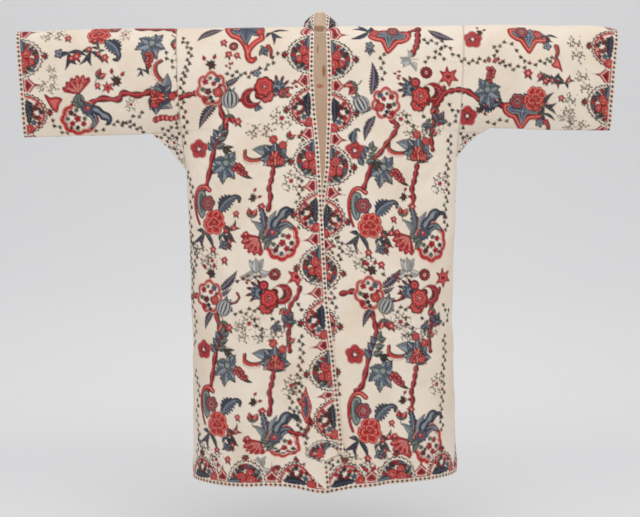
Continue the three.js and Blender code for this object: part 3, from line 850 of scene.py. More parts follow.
def leaf(s, x, y, length, width, turn, bend=0.0, teeth=0):
    """Half width: width / 2 times sin(pi t to the 0.8), t being the share from foot to tip. Turn
    is in degrees clockwise from the right. The blade bows by bend times 4 t (1 - t)."""
    a = math.radians(turn)
    dx, dy = s.x - x, s.y - y
    along = dx * math.cos(a) + dy * math.sin(a)
    t = np.clip(along / length, 0, 1)
    beside = dy * math.cos(a) - dx * math.sin(a) - bend * 4 * t * (1 - t)
    half = width / 2 * np.sin(np.pi * t**0.8)
    if teeth:
        half = half * (0.72 + 0.5 * np.abs(np.sin(np.pi * teeth * t)))
    return np.minimum(half - np.abs(beside), np.minimum(along, length - along)), beside


def curve(points, count):
    """Evenly parted samples of a smooth path: a cubic through the points, slopes from secants."""
    knots = [dict(step=i, x=x, y=y) for i, (x, y) in enumerate(points)]
    at = np.linspace(0, len(points) - 1, count)
    return np.stack([read(knots, "step", "x", at), read(knots, "step", "y", at)], axis=-1)


def stroke(s, points, width, end_width=None, waves=0):
    """Depth inside a line along a path: the greatest radius less distance over its samples."""
    reach = sum(math.dist(a, b) for a, b in zip(points, points[1:]))
    count = max(6, int(reach / 1.6))
    path = curve(points, count)
    radius = np.linspace(width, width if end_width is None else end_width, count) / 2
    if waves:
        radius = radius * (1 + 0.28 * np.sin(np.linspace(0, 2 * np.pi * waves, count)))
    depth = np.full(s.x.shape, -99.0)
    for (x, y), r in zip(path, radius):
        depth = np.maximum(depth, r - np.hypot(s.x - x, s.y - y))
    return depth


def outline(s, text, per=5):
    """Signed distance to a smooth closed path. Each side is a cubic whose slope at a corner runs
    from the corner before to the one after. A point is inside if a ray from it crosses the path
    an odd number of times."""
    p = np.array(route(text))
    t = np.linspace(0, 1, per, endpoint=False)[:, None, None]
    before, after, beyond = np.roll(p, 1, 0), np.roll(p, -1, 0), np.roll(p, -2, 0)
    sides = p + t * (after - before) / 2 + t**2 * (before - 2.5 * p + 2 * after - beyond / 2)
    sides = sides + t**3 * (1.5 * p - before / 2 - 1.5 * after + beyond / 2)
    path = np.swapaxes(sides, 0, 1).reshape(-1, 2)
    away = np.full(s.x.shape, np.inf)
    inside = np.zeros(s.x.shape, bool)
    for (ax, ay), (bx, by) in zip(path, np.roll(path, -1, 0)):
        ux, uy = bx - ax, by - ay
        step = np.clip(((s.x - ax) * ux + (s.y - ay) * uy) / (ux * ux + uy * uy), 0, 1)
        away = np.minimum(away, np.hypot(s.x - ax - step * ux, s.y - ay - step * uy))
        if ay != by:
            inside ^= ((ay > s.y) != (by > s.y)) & (s.x < ux * (s.y - ay) / uy + ax)
    return np.where(inside, away, -away)


def bands(s, depth, text):
    """Lays dyes one inside the next. The text pairs the depth where each starts with the dye."""
    for step in table("start dye", text):
        s.lay(step["dye"], depth - step["start"])


# %% Leaves, stalks and small things
MOTIFS = {}


def motif(reach):
    """Enters the function below it in MOTIFS, with how far its drawing reaches in millimetres."""
    def enter(draw):
        MOTIFS[draw.__name__] = (draw, reach)
        return draw
    return enter


def blade(s, x, y, length, width, turn, fill, bend=0.0, teeth=0, rim=1.5, vein="pale"):
    """An outlined leaf: one half in shade, and a light middle vein."""
    depth, beside = leaf(s, x, y, length, width, turn, bend, teeth)
    s.lay("line", depth + rim)
    s.lay(fill, depth - 0.3)
    if vein:
        s.lay("line", np.minimum(depth - 0.8, beside - 0.6), 0.45)
        s.lay(vein, np.minimum(1.0 - np.abs(beside + 0.8), depth - 1.2), 0.8)


@motif(86)
def serrated(s):
    """A long mauve-grey leaf with a dark toothed edge."""
    depth, beside = leaf(s, 0, 0, 80, 21, 0, 7, 11)
    bands(s, depth, "-1 line, 2.2 mauve")
    s.lay("deep", np.minimum(depth - 1.4, beside), 0.55)
    s.lay("pale", np.minimum(1.5 - np.abs(beside + 1.4), depth - 2.4), 0.75)


@motif(52)
def slender(s):
    """Dark grass-like leaves from one foot."""
    for turn, length, bend in ((-14, 44, -5), (26, 36, 5), (70, 40, -4), (120, 22, 3)):
        blade(s, 0, 0, length, 9, turn, "deep", bend, rim=1.0, vein="slate")
    s.lay("sage", disc(s, 0, 0, 3))


@motif(24)
def blossom(s):
    """A small red flower with a pale eye and dark leaves."""
    for turn, length in ((60, 17), (125, 14), (-160, 13)):
        blade(s, 0, 2, length, 6, turn, "moss", rim=0.5, vein=None)
    edge = petalled(s, 0, 0, 9.6, 5, 0.26)
    bands(s, edge, "-0.9 wine, 0 crimson")
    s.lay("rose", band(edge, 3.2, 1.4), 0.7)
    s.lay("ground", disc(s, 0, 0, 2.2), 0.8)


@motif(28)
def bud(s):
    """A scarlet bud in a green cup, with its petals parted."""
    blade(s, 3, 1, 20, 13, -70, "scarlet", rim=1.2, vein="blush")
    blade(s, -3, 1, 20, 13, -110, "crimson", rim=1.2, vein="rose")
    for turn in (-150, -30):
        blade(s, 0, 3, 15, 6, turn, "sage", rim=0.8, vein=None)
    s.lay("moss", stroke(s, [(0, 2), (1, 9), (5, 15)], 2.6))


@motif(24)
def drops(s):
    for x, y, turn in ((0, 0, 20), (9, 8, 35), (-4, 11, 15), (7, -8, 60)):
        blade(s, x, y, 10, 5.5, turn, "crimson", rim=0.7, vein=None)


@motif(44)
def sprig(s):
    """A loose nosegay: a small red flower, dark leaves about it and fine dots beyond."""
    for turn, length in ((-95, 26), (-50, 24), (-140, 22), (60, 28), (110, 26), (160, 20)):
        a = math.radians(turn)
        end = (length * math.cos(a), length * math.sin(a))
        s.lay("bark", stroke(s, [(0, 0), end], 1.3), 0.75)
        for share, side in ((0.55, 1), (0.75, -1), (1.0, 0)):
            foot = (end[0] * share, end[1] * share)
            depth, _ = leaf(s, *foot, 7.5, 4.4, turn + side * 60)
            s.lay("moss", depth + 0.5, 0.9)
    for i in range(16):
        a, r = i * 2.4, 18 + 15 * ((i * 0.755) % 1)
        dot = disc(s, r * math.cos(a), r * math.sin(a) * 1.2, 1.9)
        s.lay("crimson" if i % 3 == 0 else "moss", dot, 0.8)
    edge = petalled(s, 0, 0, 6.4, 5, 0.25)
    bands(s, edge, "-0.8 wine, 0 crimson")


@motif(46)
def spray(s):
    """Thin stems with tiny leaves and dots, too fine to be outlined."""
    for turn, length in ((-8, 36), (-42, 24), (30, 25), (172, 33), (136, 24), (-146, 22)):
        a = math.radians(turn)
        end = (length * math.cos(a), length * math.sin(a))
        s.lay("bark", stroke(s, [(0, 0), end], 1.2), 0.6)
        for share, side in ((0.45, 1), (0.62, -1), (0.8, 1), (1.0, 0)):
            depth, _ = leaf(s, end[0] * share, end[1] * share, 7, 4, turn + side * 58)
            s.lay("moss", depth + 0.6, 0.9)
    for i in range(14):
        x, y = -34 + 68 * ((i * 0.618) % 1), -19 + 38 * ((i * 0.755) % 1)
        s.lay("crimson" if i % 3 == 0 else "bark", disc(s, x, y, 1.9), 0.85)


def garland(points, pitch=10.5):
    """Little three-lobed leaves on alternate sides of a thin stem, unevenly spaced."""
    def draw(s):
        reach = sum(math.dist(a, b) for a, b in zip(points, points[1:]))
        s.lay("bark", stroke(s, points, 1.2), 0.55)
        path = curve(points, max(3, int(reach / pitch)))
        ahead = np.gradient(path, axis=0)
        for i, ((x, y), (dx, dy)) in enumerate(zip(path, ahead)):
            side = 1 if i % 2 else -1
            turn = math.degrees(math.atan2(dy, dx)) + side * (70 + 14 * math.sin(i * 3.3))
            a = math.radians(turn)
            fill = ("moss", "line", "moss", "sage", "bark", "moss", "wine")[i % 7]
            for lobe, length in ((-62, 6.5), (0, 8.5), (62, 6.5)):
                foot = (x + 2 * math.cos(a), y + 2 * math.sin(a))
                depth, _ = leaf(s, *foot, length, 5.0, turn + lobe)
                s.lay(fill, depth + 0.7, 0.92)
    return draw


def branch(points, width, end_width=None):
    """A red woody stalk with a dark side, a light one and knots."""
    def draw(s):
        depth = stroke(s, points, width, end_width, waves=len(points) * 0.9)
        bands(s, depth, "-1.5 line, 0 wine")
        s.lay("crimson", stroke(s, [(x - 1.4, y - 0.8) for x, y in points], width * 0.62))
        s.lay("rose", stroke(s, [(x - 2.2, y - 1.2) for x, y in points], width * 0.2), 0.6)
    return draw


@motif(38)
def berries(s):
    """A bunch of round red berries."""
    for i in range(14):
        x = 11 * math.sin(i * 2.4) * (1 - i / 18) + i * 0.8
        y = -17 + i * 2.9
        s.lay("wine", disc(s, x, y, 6.6))
        s.lay("crimson", disc(s, x, y, 4.8))
        s.lay("blush", disc(s, x - 1, y - 1, 1.5), 0.8)
    blade(s, 6, 20, 22, 7, 50, "moss", rim=0.8, vein=None)


# %% Flowers
def strew(s, text):
    """Small florets of mixed dyes, each with a dark edge and a dark eye."""
    for floret in table("x y r dye", text):
        x, y, r = floret["x"], floret["y"], floret["r"]
        edge = petalled(s, x, y, r, 5, 0.28, 7 * x)
        s.lay("line", edge + 0.9, 0.8)
        s.lay(floret["dye"], edge - 0.2)
        s.lay("line", disc(s, x, y, r * 0.24), 0.7)


@motif(54)
def bloom(s):
    """A great open flower: a scalloped red rim round a pale field strewn with florets."""
    edge = petalled(s, 1, -2, 41, 7, 0.17, 12, stretch=1.12)
    s.lay("blush", edge + 3.0, 0.7)
    bands(s, edge, "0 crimson, 4.8 blush, 6.2 crimson, 8.4 ground")
    strew(s, """
        -15 -20 8.5 crimson, -16 25 9 crimson, 7 -14 7 crimson, -8 6 9.5 wine,
        17 -24 8.5 slate, -22 0 6.5 sage, -2 22 6.4 deep, -2 -29 5 sage,
        24 -8 6 crimson, 4 32 5 moss, 8 4 5 sage""")
    rosette(s, 18, 9, 13)


def rosette(s, x, y, r, rim="wine"):
    """A crimped disc of rings: dark, red, rose, red, and a pale eye."""
    edge = petalled(s, x, y, r, 7, 0.14, 5 * r)
    s.lay("line", edge + 1.3)
    rings = "0.1 scarlet, 0.3 rose, 0.4 crimson, 0.6 rose, 0.7 wine, 0.84 blush"
    for ring in table("share dye", f"0 {rim}, {rings}"):
        s.lay(ring["dye"], edge - r * ring["share"])


@motif(50)
def rose(s):
    """A full rose of two crimped heads, one behind the other."""
    rosette(s, 7, 22, 21)
    rosette(s, -6, 12, 19)
    rosette(s, 0, -1, 26)


@motif(18)
def small_rose(s):
    rosette(s, 0, 0, 12)


@motif(22)
def round_flower(s):
    """A dark wine ring with a pale heart."""
    edge = petalled(s, 0, 0, 16, 12, 0.1)
    bands(s, edge, "-1 line, 0 wine, 4 crimson, 6.2 wine, 11 blush, 13.4 wine")


@motif(34)
def five_petal(s):
    """Five broad crimson petals, lighter at the rim, parted by dark lines."""
    edge = petalled(s, 0, 0, 26, 5, 0.22, -18)
    s.lay("line", edge + 1.2, 0.8)
    bands(s, edge, "0 rose, 2.2 crimson, 14 wine")
    angle = np.arctan2(s.y, s.x) + math.radians(18)
    rho = np.hypot(s.x, s.y)
    parting = np.abs(np.sin(2.5 * angle + np.pi / 2)) * rho / 2.5
    s.lay("wine", np.minimum(1.2 - parting, edge - 0.5))
    s.lay("rose", np.minimum(edge - 5, 2.2 * np.cos(20 * angle) - 1.2), 0.5)
    s.lay("ground", petalled(s, 0, 0, 4.4, 5, 0.4))


@motif(40)
def star_flower(s):
    """A flower of five pointed petals on a bent stalk."""
    s.lay("bark", stroke(s, [(0, 0), (-16, 8), (-26, 22)], 2.6))
    edge = outline(s, """
        -2 -26, 4 -12, 22 -18, 17 -3, 27 10, 12 10, 4 25, -5 12, -20 14, -13 0, -20 -14,
        -8 -11""")
    bands(s, edge, "-1.4 wine, 0 crimson, 4 rose, 7 crimson, 10 wine")


@motif(46)
def peony(s):
    """A heavy scarlet head of broad petals, each with a light line inside its edge."""
    for x, y, r, petals in (
        (-19, 3, 13, 3), (17, -12, 13, 2), (20, 6, 13, 3), (8, 20, 14, 2), (-12, 19, 13, 3),
        (-8, -18, 14, 3), (6, -20, 12, 2), (-8, 4, 13, 2), (9, 3, 12, 3), (0, -6, 11, 2),
    ):
        edge = petalled(s, x, y, r, petals, 0.24, 25 * x)
        bands(s, edge, "-1.1 wine, 0 scarlet, 2.2 blush, 3.5 scarlet, 7.5 crimson")
    rosette(s, 1, 0, 7)


@motif(28)
def mauve_rose(s):
    edge = petalled(s, 0, 0, 21, 6, 0.16)
    bands(s, edge, "-1.3 line, 0 mauve, 4 rose, 5.6 wine, 9.4 rose, 11 mauve, 14.4 blush, 16 wine")


@motif(48)
def carnation(s):
    """A fan of crimson petals with a toothed edge, rose towards its cup."""
    angle = np.degrees(np.arctan2(s.y, s.x))
    turned = (angle - 136 + 180) % 360 - 180
    rho = np.hypot(s.x, s.y)
    teeth = 47 * (0.84 + 0.16 * np.abs(np.sin(np.radians(turned) * 9)))
    fan = np.minimum(teeth - rho, (60 - np.abs(turned)) * rho / 57)
    bands(s, fan, "-1.4 wine, 0 crimson, 7 rose, 9 crimson")
    s.lay("rose", np.minimum(fan - 4, 24 - rho), 0.75)
    for step in (-48, -24, 0, 24, 48):
        s.lay("wine", np.minimum(1.0 - np.abs(turned - step) * rho / 57, fan - 1), 0.8)
        s.lay("blush", np.minimum(1.0 - np.abs(turned - step - 8) * rho / 57, fan - 5), 0.7)
    for turn in (-60, -20, 20):
        blade(s, 0, 0, 26, 9, turn, "sage", rim=1.2)


@motif(94)
def great_bloom(s):
    """The largest flower: a ring of scarlet scales round a pale field, and dark scroll leaves."""
    edge = petalled(s, 3, 0, 48, 9, 0.09, 8, stretch=1.16)
    s.lay("blush", edge + 2.6, 0.6)
    s.lay("crimson", edge)
    angle = np.arctan2(s.y / 1.16, s.x - 3)
    s.lay("scarlet", np.minimum(band(edge, 5, 7), 2.8 * np.cos(24 * angle)))
    bands(s, edge, "10 ground, 11.4 crimson, 13.4 ground")
    strew(s, """
        4 6 10 crimson, 20 -10 8 crimson, -14 24 8 wine, 16 22 8.5 crimson,
        -20 8 6.4 sage, 6 -14 6 sage, 2 34 6 slate, 29 8 6.6 moss, -8 14 5 moss,
        28 26 5 wine""")
    inner = outline(s, "-22 -26, -8 -44, 14 -50, 30 -42, 34 -30, 20 -36, 4 -30, -4 -18")
    bands(s, inner, "-1.6 line, 0 slate, 3 pale, 5.4 deep")
    scroll = outline(s, """
        -26 -34, -24 -54, -10 -68, 0 -84, 16 -90, 30 -80, 18 -76, 12 -62, 0 -54, -8 -40,
        -16 -30""")
    bands(s, scroll, "-1.8 line, 0 deep, 3.6 slate, 6.4 pale")
    for turn, length in ((118, 40), (150, 30)):
        blade(s, -26, -14, length, 15, turn, "sage", rim=1.6)
    cup = petalled(s, -20, -22, 17, 8, 0.2)
    bands(s, cup, "-1.2 line, 0 slate, 4 deep, 6 slate")
    s.lay("crimson", petalled(s, -22, -23, 8, 3, 0.3))
    s.lay("blush", disc(s, -23, -25, 2.2))


@motif(60)
def lotus(s):
    """A cup of blue-grey petals round scarlet ones, with small flowers above it."""
    blade(s, -14, 0, 42, 22, -160, "pale", 5, rim=1.7, vein="slate")
    for turn, length, fill in (
        (-128, 42, "slate"), (-52, 42, "pale"), (-90, 40, "slate"), (178, 36, "slate"),
        (10, 38, "slate"), (150, 32, "pale"), (40, 32, "slate"),
    ):
        blade(s, 0, 10, length, 29, turn, fill, 2, rim=1.7, vein="pearl")
    for x, y, r in ((12, 18, 12), (-10, 20, 10), (0, 8, 14)):
        rosette(s, x, y, r)
    for turn in (-110, -70, 60, 120, 90):
        blade(s, 0, 10, 20, 11, turn, "scarlet", rim=1.1, vein="blush")


@motif(42)
def bulb(s):
    """A ribbed pale pod in black outline. The ribs are lines of longitude on a ball."""
    blade(s, 0, -10, 26, 11, -100, "sage", rim=1.4)
    blade(s, 0, -12, 22, 8, -55, "pale", rim=1.3)
    depth = disc(s, 0, 0, 22)
    bands(s, depth, "-1.6 line, 0.4 pearl")
    around = s.x / np.sqrt(np.maximum(22.0**2 - s.y**2, 40))
    for at, width in ((-0.74, 2.6), (-0.28, 3.6), (0.26, 4.4), (0.78, 3.2)):
        rib = width / 2 - np.abs(around - at) * 20
        s.lay("pale", np.minimum(rib + 2.0, depth - 0.5), 0.8)
        s.lay("line", np.minimum(rib, depth - 0.5))


@motif(32)
def gourd(s):
    """A ribbed crimson crescent round a pale one."""
    outer = disc(s, 0, 0, 26)
    hollow = disc(s, 13, -4, 16)
    bands(s, outer, "-1.5 line, 0 crimson, 4.4 wine, 6 crimson, 9.6 rose, 11 wine")
    bands(s, hollow, "-1.4 line, 0 ground")
    s.lay("wine", disc(s, 20, -6, 11))
    for turn in (30, 60, 95):
        blade(s, 14, 20, 18, 8, turn, "slate", rim=1.2)


@motif(50)
def thistle(s):
    """A blue-grey head of spiky leaves with dark red tips, and a red fruit."""
    for turn, length in (
        (-112, 30), (-84, 36), (-56, 38), (-30, 38), (-4, 34), (28, 26), (140, 24)
    ):
        blade(s, -10, 6, length, 12, turn, "slate", rim=1.6)
        a = math.radians(turn)
        blade(s, -10 + (length - 8) * math.cos(a), 6 + (length - 8) * math.sin(a), 13, 7, turn - 14,
              "wine", rim=0.9, vein=None)
    body = petalled(s, -8, 5, 18, 7, 0.2)
    bands(s, body, "-1 line, 0 slate, 5 pale, 9 deep")
    fruit = disc(s, 10, 15, 12.5)
    bands(s, fruit, "-1.2 line, 0 wine, 2.4 crimson, 6 rose, 8 crimson")


@motif(60)
def tulip(s):
    """A grey flower whose outer petals bend down to both sides."""
    for x, y, length, width, turn, bend in (
        (-4, 8, 42, 20, 160, -8), (6, 8, 34, 17, 10, 8), (-2, 12, 36, 20, -118, 4),
        (4, 12, 36, 20, -66, -4), (0, 14, 38, 20, -92, 0),
    ):
        blade(s, x, y, length, width, turn, "pearl", bend, rim=1.3, vein="slate")
    s.lay("bark", stroke(s, [(0, 12), (2, 26), (-4, 42)], 2.4), 0.9)


# %% Calyxes and great leaves
@motif(96)
def calyx(s):
    """A bell of red and orange lines round a blue lobed leaf, ending in a curled tail."""
    bell = outline(s, """
        -52 -34, -52 -10, -38 14, -20 24, -7 40, 0 58, 2 74, 9 87, 21 92, 32 84, 31 75,
        23 77, 17 74, 17 62, 24 50, 36 38, 52 26, 50 4, 50 -20, 34 -52, 0 -60, -34 -54""")
    bands(s, bell, """
        -1.4 line, 0 crimson, 3.2 scarlet, 7 blush, 8.4 scarlet, 14 wine, 15.4 blush,
        17.5 ground""")
    great = outline(s, """
        -38 -16, -30 2, -14 5, -7 21, 4 38, 13 23, 19 10, 33 13, 43 3, 36 -8, 42 -22,
        26 -30, 8 -40, -14 -32, -30 -34""")
    bands(s, great, "-1.8 line, 0 slate, 3 pale, 4.6 slate")
    for end in ((4, 32), (-30, -8), (34, 4), (-22, -26), (28, -20)):
        s.lay("deep", np.minimum(stroke(s, [(3, -14), end], 5, 2), great - 1), 0.85)
    edge = petalled(s, -24, -22, 13, 5, 0.2)
    bands(s, edge, "-1 line, 0 mauve, 4 blush, 6.4 wine")


@motif(60)
def open_calyx(s):
    """A thin tall bow of red and orange lines with a broad grey-green lining."""
    lining = outline(s, "-18 -32, -6 -40, 6 -32, 5 -6, 3 22, -6 34, -17 18, -21 -8")
    bands(s, lining, "-1.4 line, 0 sage, 3 pale, 7.4 sage")
    path = [(18, -40), (4, -50), (-12, -46), (-23, -26), (-26, 0), (-22, 28), (-14, 50)]
    bow = stroke(s, path, 11, 5)
    bands(s, bow, "-1.3 line, 0 crimson, 2.2 scarlet, 4.2 blush")


@motif(62)
def cup(s):
    """A low bell of red and orange flames round a blue leaf of three lobes."""
    flame = outline(s, """
        -54 -30, -51 -10, -36 3, -24 7, -14 23, 0 39, 12 23, 22 9, 38 8, 55 2, 54 -10,
        38 -14, 30 -27, 10 -31, -12 -27, -34 -36""")
    bands(s, flame, "-1.3 line, 0 crimson, 3 scarlet, 6.2 blush, 7.6 scarlet, 12 wine")
    great = outline(s, """
        -42 -20, -28 -7, -13 -7, -6 8, 0 22, 7 8, 14 -7, 30 -7, 44 -14, 28 -23, 12 -20,
        6 -34, -6 -24, -24 -30""")
    bands(s, great, "-2 line, 0 pale, 2.6 slate")
    for end in ((0, 16), (-34, -18), (36, -14), (4, -28)):
        s.lay("pale", np.minimum(stroke(s, [(0, -14), end], 3, 1.4), great - 1), 0.9)


@motif(62)
def blue_leaf(s):
    """A great lobed leaf, blue-grey with a ragged dark edge and light veins."""
    lobes = (
        (100, 52, 27), (62, 46, 24), (146, 44, 24), (20, 38, 22), (-168, 34, 20), (-48, 34, 22),
        (-80, 26, 18),
    )
    for turn, length, width in lobes:
        depth, _ = leaf(s, 0, 0, length, width, turn, 3, 5)
        s.lay("line", depth + 2.4)
    for turn, length, width in lobes:
        depth, beside = leaf(s, 0, 0, length, width, turn, 3, 5)
        s.lay("pale", depth - 0.9)
        s.lay("slate", np.minimum(depth - 1.6, beside + 1.5))
        s.lay("deep", np.minimum(1.0 - np.abs(beside), depth - 1.4), 0.85)
    eye = disc(s, 0, 0, 10)
    bands(s, eye, "-1 line, 0 sage, 4 pale")


@motif(76)
def scalloped(s):
    """A blue-grey leaf with a dark scalloped edge and a hooked tip."""
    depth, beside = leaf(s, 0, 0, 62, 34, 0, -9, 7)
    hook = stroke(s, [(44, -6), (58, -2), (64, 8), (58, 15)], 13, 3)
    both = np.maximum(depth, hook)
    bands(s, both, "-2.4 line, 1.2 slate")
    s.lay("deep", np.minimum(both - 1.6, -beside - 3), 0.75)
    for at in (10, 20, 30, 40):
        vein = stroke(s, [(at - 6, -3), (at + 4, -13)], 1.6)
        s.lay("line", np.minimum(vein, both - 2), 0.7)
    s.lay("pale", np.minimum(1.4 - np.abs(beside), depth - 3), 0.9)


@motif(46)
def comb_leaf(s):
    """A red curl with fine teeth on its lower side."""
    arc = [(-28, -12), (-25, 4), (-8, 11), (14, 7), (28, -3)]
    for x, y in curve(arc, 15):
        s.lay("crimson", stroke(s, [(x, y), (x - 2, y + 12)], 2.6, 1.4), 0.95)
    depth = stroke(s, arc, 9, 5)
    bands(s, depth, "-1.2 line, 0 scarlet")
    s.lay("rose", depth - 2.6, 0.6)
    s.lay("moss", stroke(s, [(x + 2, y - 5) for x, y in arc], 4.6), 0.95)


@motif(48)
def leaf_cluster(s):
    """Rounded dark grey leaves one above another on a short stalk."""
    for i in range(6):
        side = 1 if i % 2 else -1
        blade(s, side * 2, 20 - i * 8, 21 - i, 13, -90 + side * 52, "sage" if i % 2 else "slate",
              rim=1.5)
    blade(s, 0, -22, 18, 11, -90, "sage", rim=1.4)
    for turn in (-20, 8, 36):
        blade(s, 16, 8, 24, 7, turn, "moss", rim=0.9, vein=None)


@motif(66)
def sheath(s):
    """Long grey-blue leaves that clasp a red stalk."""
    blade(s, -5, 32, 72, 20, -98, "slate", 5, 6, rim=1.6)
    blade(s, 7, 32, 62, 19, -72, "pale", -5, 6, rim=1.6, vein="slate")
    blade(s, -8, 30, 44, 15, -128, "pale", 5, rim=1.4, vein="slate")
    s.lay("wine", stroke(s, [(0, 36), (1, 10), (0, -12)], 5), 0.9)


@motif(28)
def berry_sprig(s):
    """A dark sprig with two red buds."""
    for turn in (-165, -125, -85, -45, 0, 40, 100):
        blade(s, 0, 8, 15, 7.5, turn, "moss", rim=0.8, vein=None)
    for x, y, turn in ((-16, -6, -110), (8, -8, -72)):
        blade(s, x, y, 14, 8.5, turn, "crimson", rim=1.0, vein=None)
    s.lay("bark", stroke(s, [(-14, -6), (0, 8), (7, -6)], 1.8))
    s.lay("wine", disc(s, 0, 8, 4))


@motif(28)
def small_leaf(s):
    """A little grey leaf of three lobes."""
    for turn, length, width in ((0, 22, 13), (62, 19, 12), (-62, 19, 12), (180, 12, 9)):
        blade(s, 0, 0, length, width, turn, "slate", rim=1.5)


@motif(22)
def strip(s):
    """A short bent strip of crimson scales."""
    path = [(-12, -8), (2, -3), (13, 10)]
    depth = stroke(s, path, 11, 5)
    bands(s, depth, "-1 line, 0 crimson")
    s.lay("rose", np.minimum(depth - 1.4, 2.4 * np.cos((s.x + s.y) * 0.9) - 0.6), 0.7)
    s.lay("moss", np.minimum(2.2 - np.abs(depth), s.x - s.y - 2), 0.8)


@motif(18)
def floret(s):
    """A grey floret with a dark eye."""
    edge = petalled(s, 0, 0, 11, 5, 0.35)
    bands(s, edge, "-1 line, 0.4 slate, 4 pale")
    s.lay("line", disc(s, 0, 0, 2.6))


@motif(62)
def curl_leaf(s):
    """A dark leaf whose tip curls over."""
    depth = stroke(s, [(0, 0), (22, -6), (42, -4), (52, 8), (44, 14)], 15, 4)
    bands(s, depth, "-1.8 line, 0 deep, 3.2 slate, 5.4 pale")


@motif(34)
def horn(s):
    """A short scarlet horn, dark on its outer side."""
    depth = outline(s, "-22 -30, -8 -21, 8 -22, 22 -16, 14 -3, 8 16, -3 8, -12 -8")
    bands(s, depth, "-2 line, 0 crimson, 3 scarlet, 5.4 rose")


@motif(44)
def chain(s):
    """A red stalk set with rings, as of coral."""
    depth = stroke(s, [(-34, 2), (-12, -2), (12, 2), (34, -2)], 13, 10, waves=5)
    bands(s, depth, "-1.2 line, 0 crimson")
    s.lay("blush", np.minimum(depth - 2.2, 3 * np.cos(s.x * 0.5) - 1.6), 0.8)


@motif(60)
def twigs(s):
    """A spray of dark narrow leaves with two red flowers on it."""
    for x, y, turn, length, bend in (
        (0, 0, -70, 34, 4), (0, 0, -20, 30, -4), (4, 6, 50, 30, 5), (-2, 4, 110, 34, -4),
        (0, 30, 60, 26, 3), (0, 30, 140, 24, -3), (-2, 0, -140, 20, 2),
    ):
        blade(s, x, y, length, 8.5, turn, "deep", bend, rim=1.0, vein="sage")
    s.lay("bark", stroke(s, [(0, -14), (0, 8), (-2, 30), (2, 44)], 2.2))
    for x, y in ((10, -10), (-4, 46)):
        edge = petalled(s, x, y, 8, 5, 0.26)
        bands(s, edge, "-0.9 wine, 0 crimson, 4 blush, 6 wine")


@motif(80)
def spear(s):
    """A tall pointed calyx of red and orange lines round a blue leaf."""
    spike = outline(s, """
        2 -68, 8 -50, 16 -30, 27 -18, 40 -22, 32 -8, 20 8, 20 34, 10 56, 2 74, -8 56,
        -16 34, -20 10, -14 -14, -4 -44""")
    bands(s, spike, "-1.4 line, 0 crimson, 3 scarlet, 5.2 blush, 6.6 crimson, 9 slate")
    s.lay("deep", np.minimum(spike - 9, 2 - np.abs(s.x)), 0.9)
    rosette(s, 12, 0, 10)


print(len(MOTIFS), "motifs,", len(DYES), "dyes")

# %% [markdown]
# ## Laying the print out
# The pattern repeats every 536 mm down the cloth and every 400 mm across. A table gives each
# motif's place in one repeat: millimetres across and down the flat cloth, its turn clockwise,
# its size, and -1 where it is mirrored. The yoke has a few motifs of its own, and so do the
# sleeves, which were cut from another stretch of the cloth.

# %% Tables of places
COLUMNS = "motif across down turn size flip"
REPEAT_DOWN, REPEAT_ACROSS = 536, 400
BLOOM, BUSH, LOTUS = 0, 1, 2  # which group a stalk belongs to


def places(text):
    """Motifs with their places. Turn, size and flip are 0, 1 and 1 where they are left out."""
    return [{"turn": 0, "size": 1, "flip": 1, **row} for row in table(COLUMNS, text)]


def stalk(width, text, group=BLOOM):
    """A stalk's width, its points and its group, which matters only in the repeat."""
    return dict(width=width, points=route(text), group=group)


BLOOM_GROUP = places("""
    berry_sprig -289 131, serrated -262 194 -24 0.72, serrated -270 237 128 1.05,
    serrated -226 247 48 1 -1, bloom -288 202, bulb -238 232, bud -241 275 180 1.2,
    blossom -217 291""")
LOW_BLOOM_GROUP = places("""
    berry_sprig -297 148, serrated -274 200 -43 0.92, serrated -278 213 -22 0.56,
    serrated -287 248 120 0.8, bloom -304 217 0 0.98, bulb -259 247 24 0.95,
    bud -262 286 180 1.3, blossom -243 299, spray -209 312 70 0.8""")
SHRUB = places("""
    leaf_cluster -274 342 20 1.25, five_petal -325 358, blue_leaf -250 399 0 1.05,
    berries -215 423 -30, open_calyx -315 508, scalloped -269 528 -38,
    slender -314 581 75 1.15, slender -261 587 -5 0.9, peony -286 554 0 1.05,
    mauve_rose -303 503, blossom -247 576, blossom -222 535 0 0.8, blossom -243 608,
    blossom -255 656 0 0.9, twigs -240 580 10 0.95, blossom -289 626 0 0.9,
    spray -322 640 60, sprig -292 656 0 0.8, small_leaf -262 618 -30 0.9""")
ROSE_GROUP = places("""
    gourd -182 232, thistle -108 209, rose -148 204, bud -94 227 70, drops -75 199,
    floret -167 167, sprig -101 290 -70, spray -158 321 5, sprig -76 458 0 0.9""")
TURNED_ROSE_GROUP = places("""
    round_flower -119 165, star_flower -62 174, thistle -162 204 -96,
    gourd -100 218 0 1 -1, rose -134 228 0 0.95 -1, drops -186 176 160,
    bud -93 258 200 0.9, small_leaf -86 292 -60 1.3, sprig -186 290 70 0.9,
    small_leaf -116 300 90 0.9, spray -140 326 10, sprig -76 458 0 0.9,
    sprig -84 300 20 0.8""")
LOTUS_GROUP = places("""
    comb_leaf -174 388 10 0.95, lotus -119 384 0 1.08, small_rose -123 345 0 0.9,
    small_rose -98 362 0 0.9, bud -82 343 40 0.9""")
GREAT_GROUP = places("""
    berry_sprig -173 493 60 0.8, blossom -154 521, bud -181 544 10 1.1, sheath -142 562,
    curl_leaf -103 570 -45, carnation -160 600 0 1.05, great_bloom -103 614 0 0.98,
    tulip -168 680, blossom -196 590 0 0.8""")
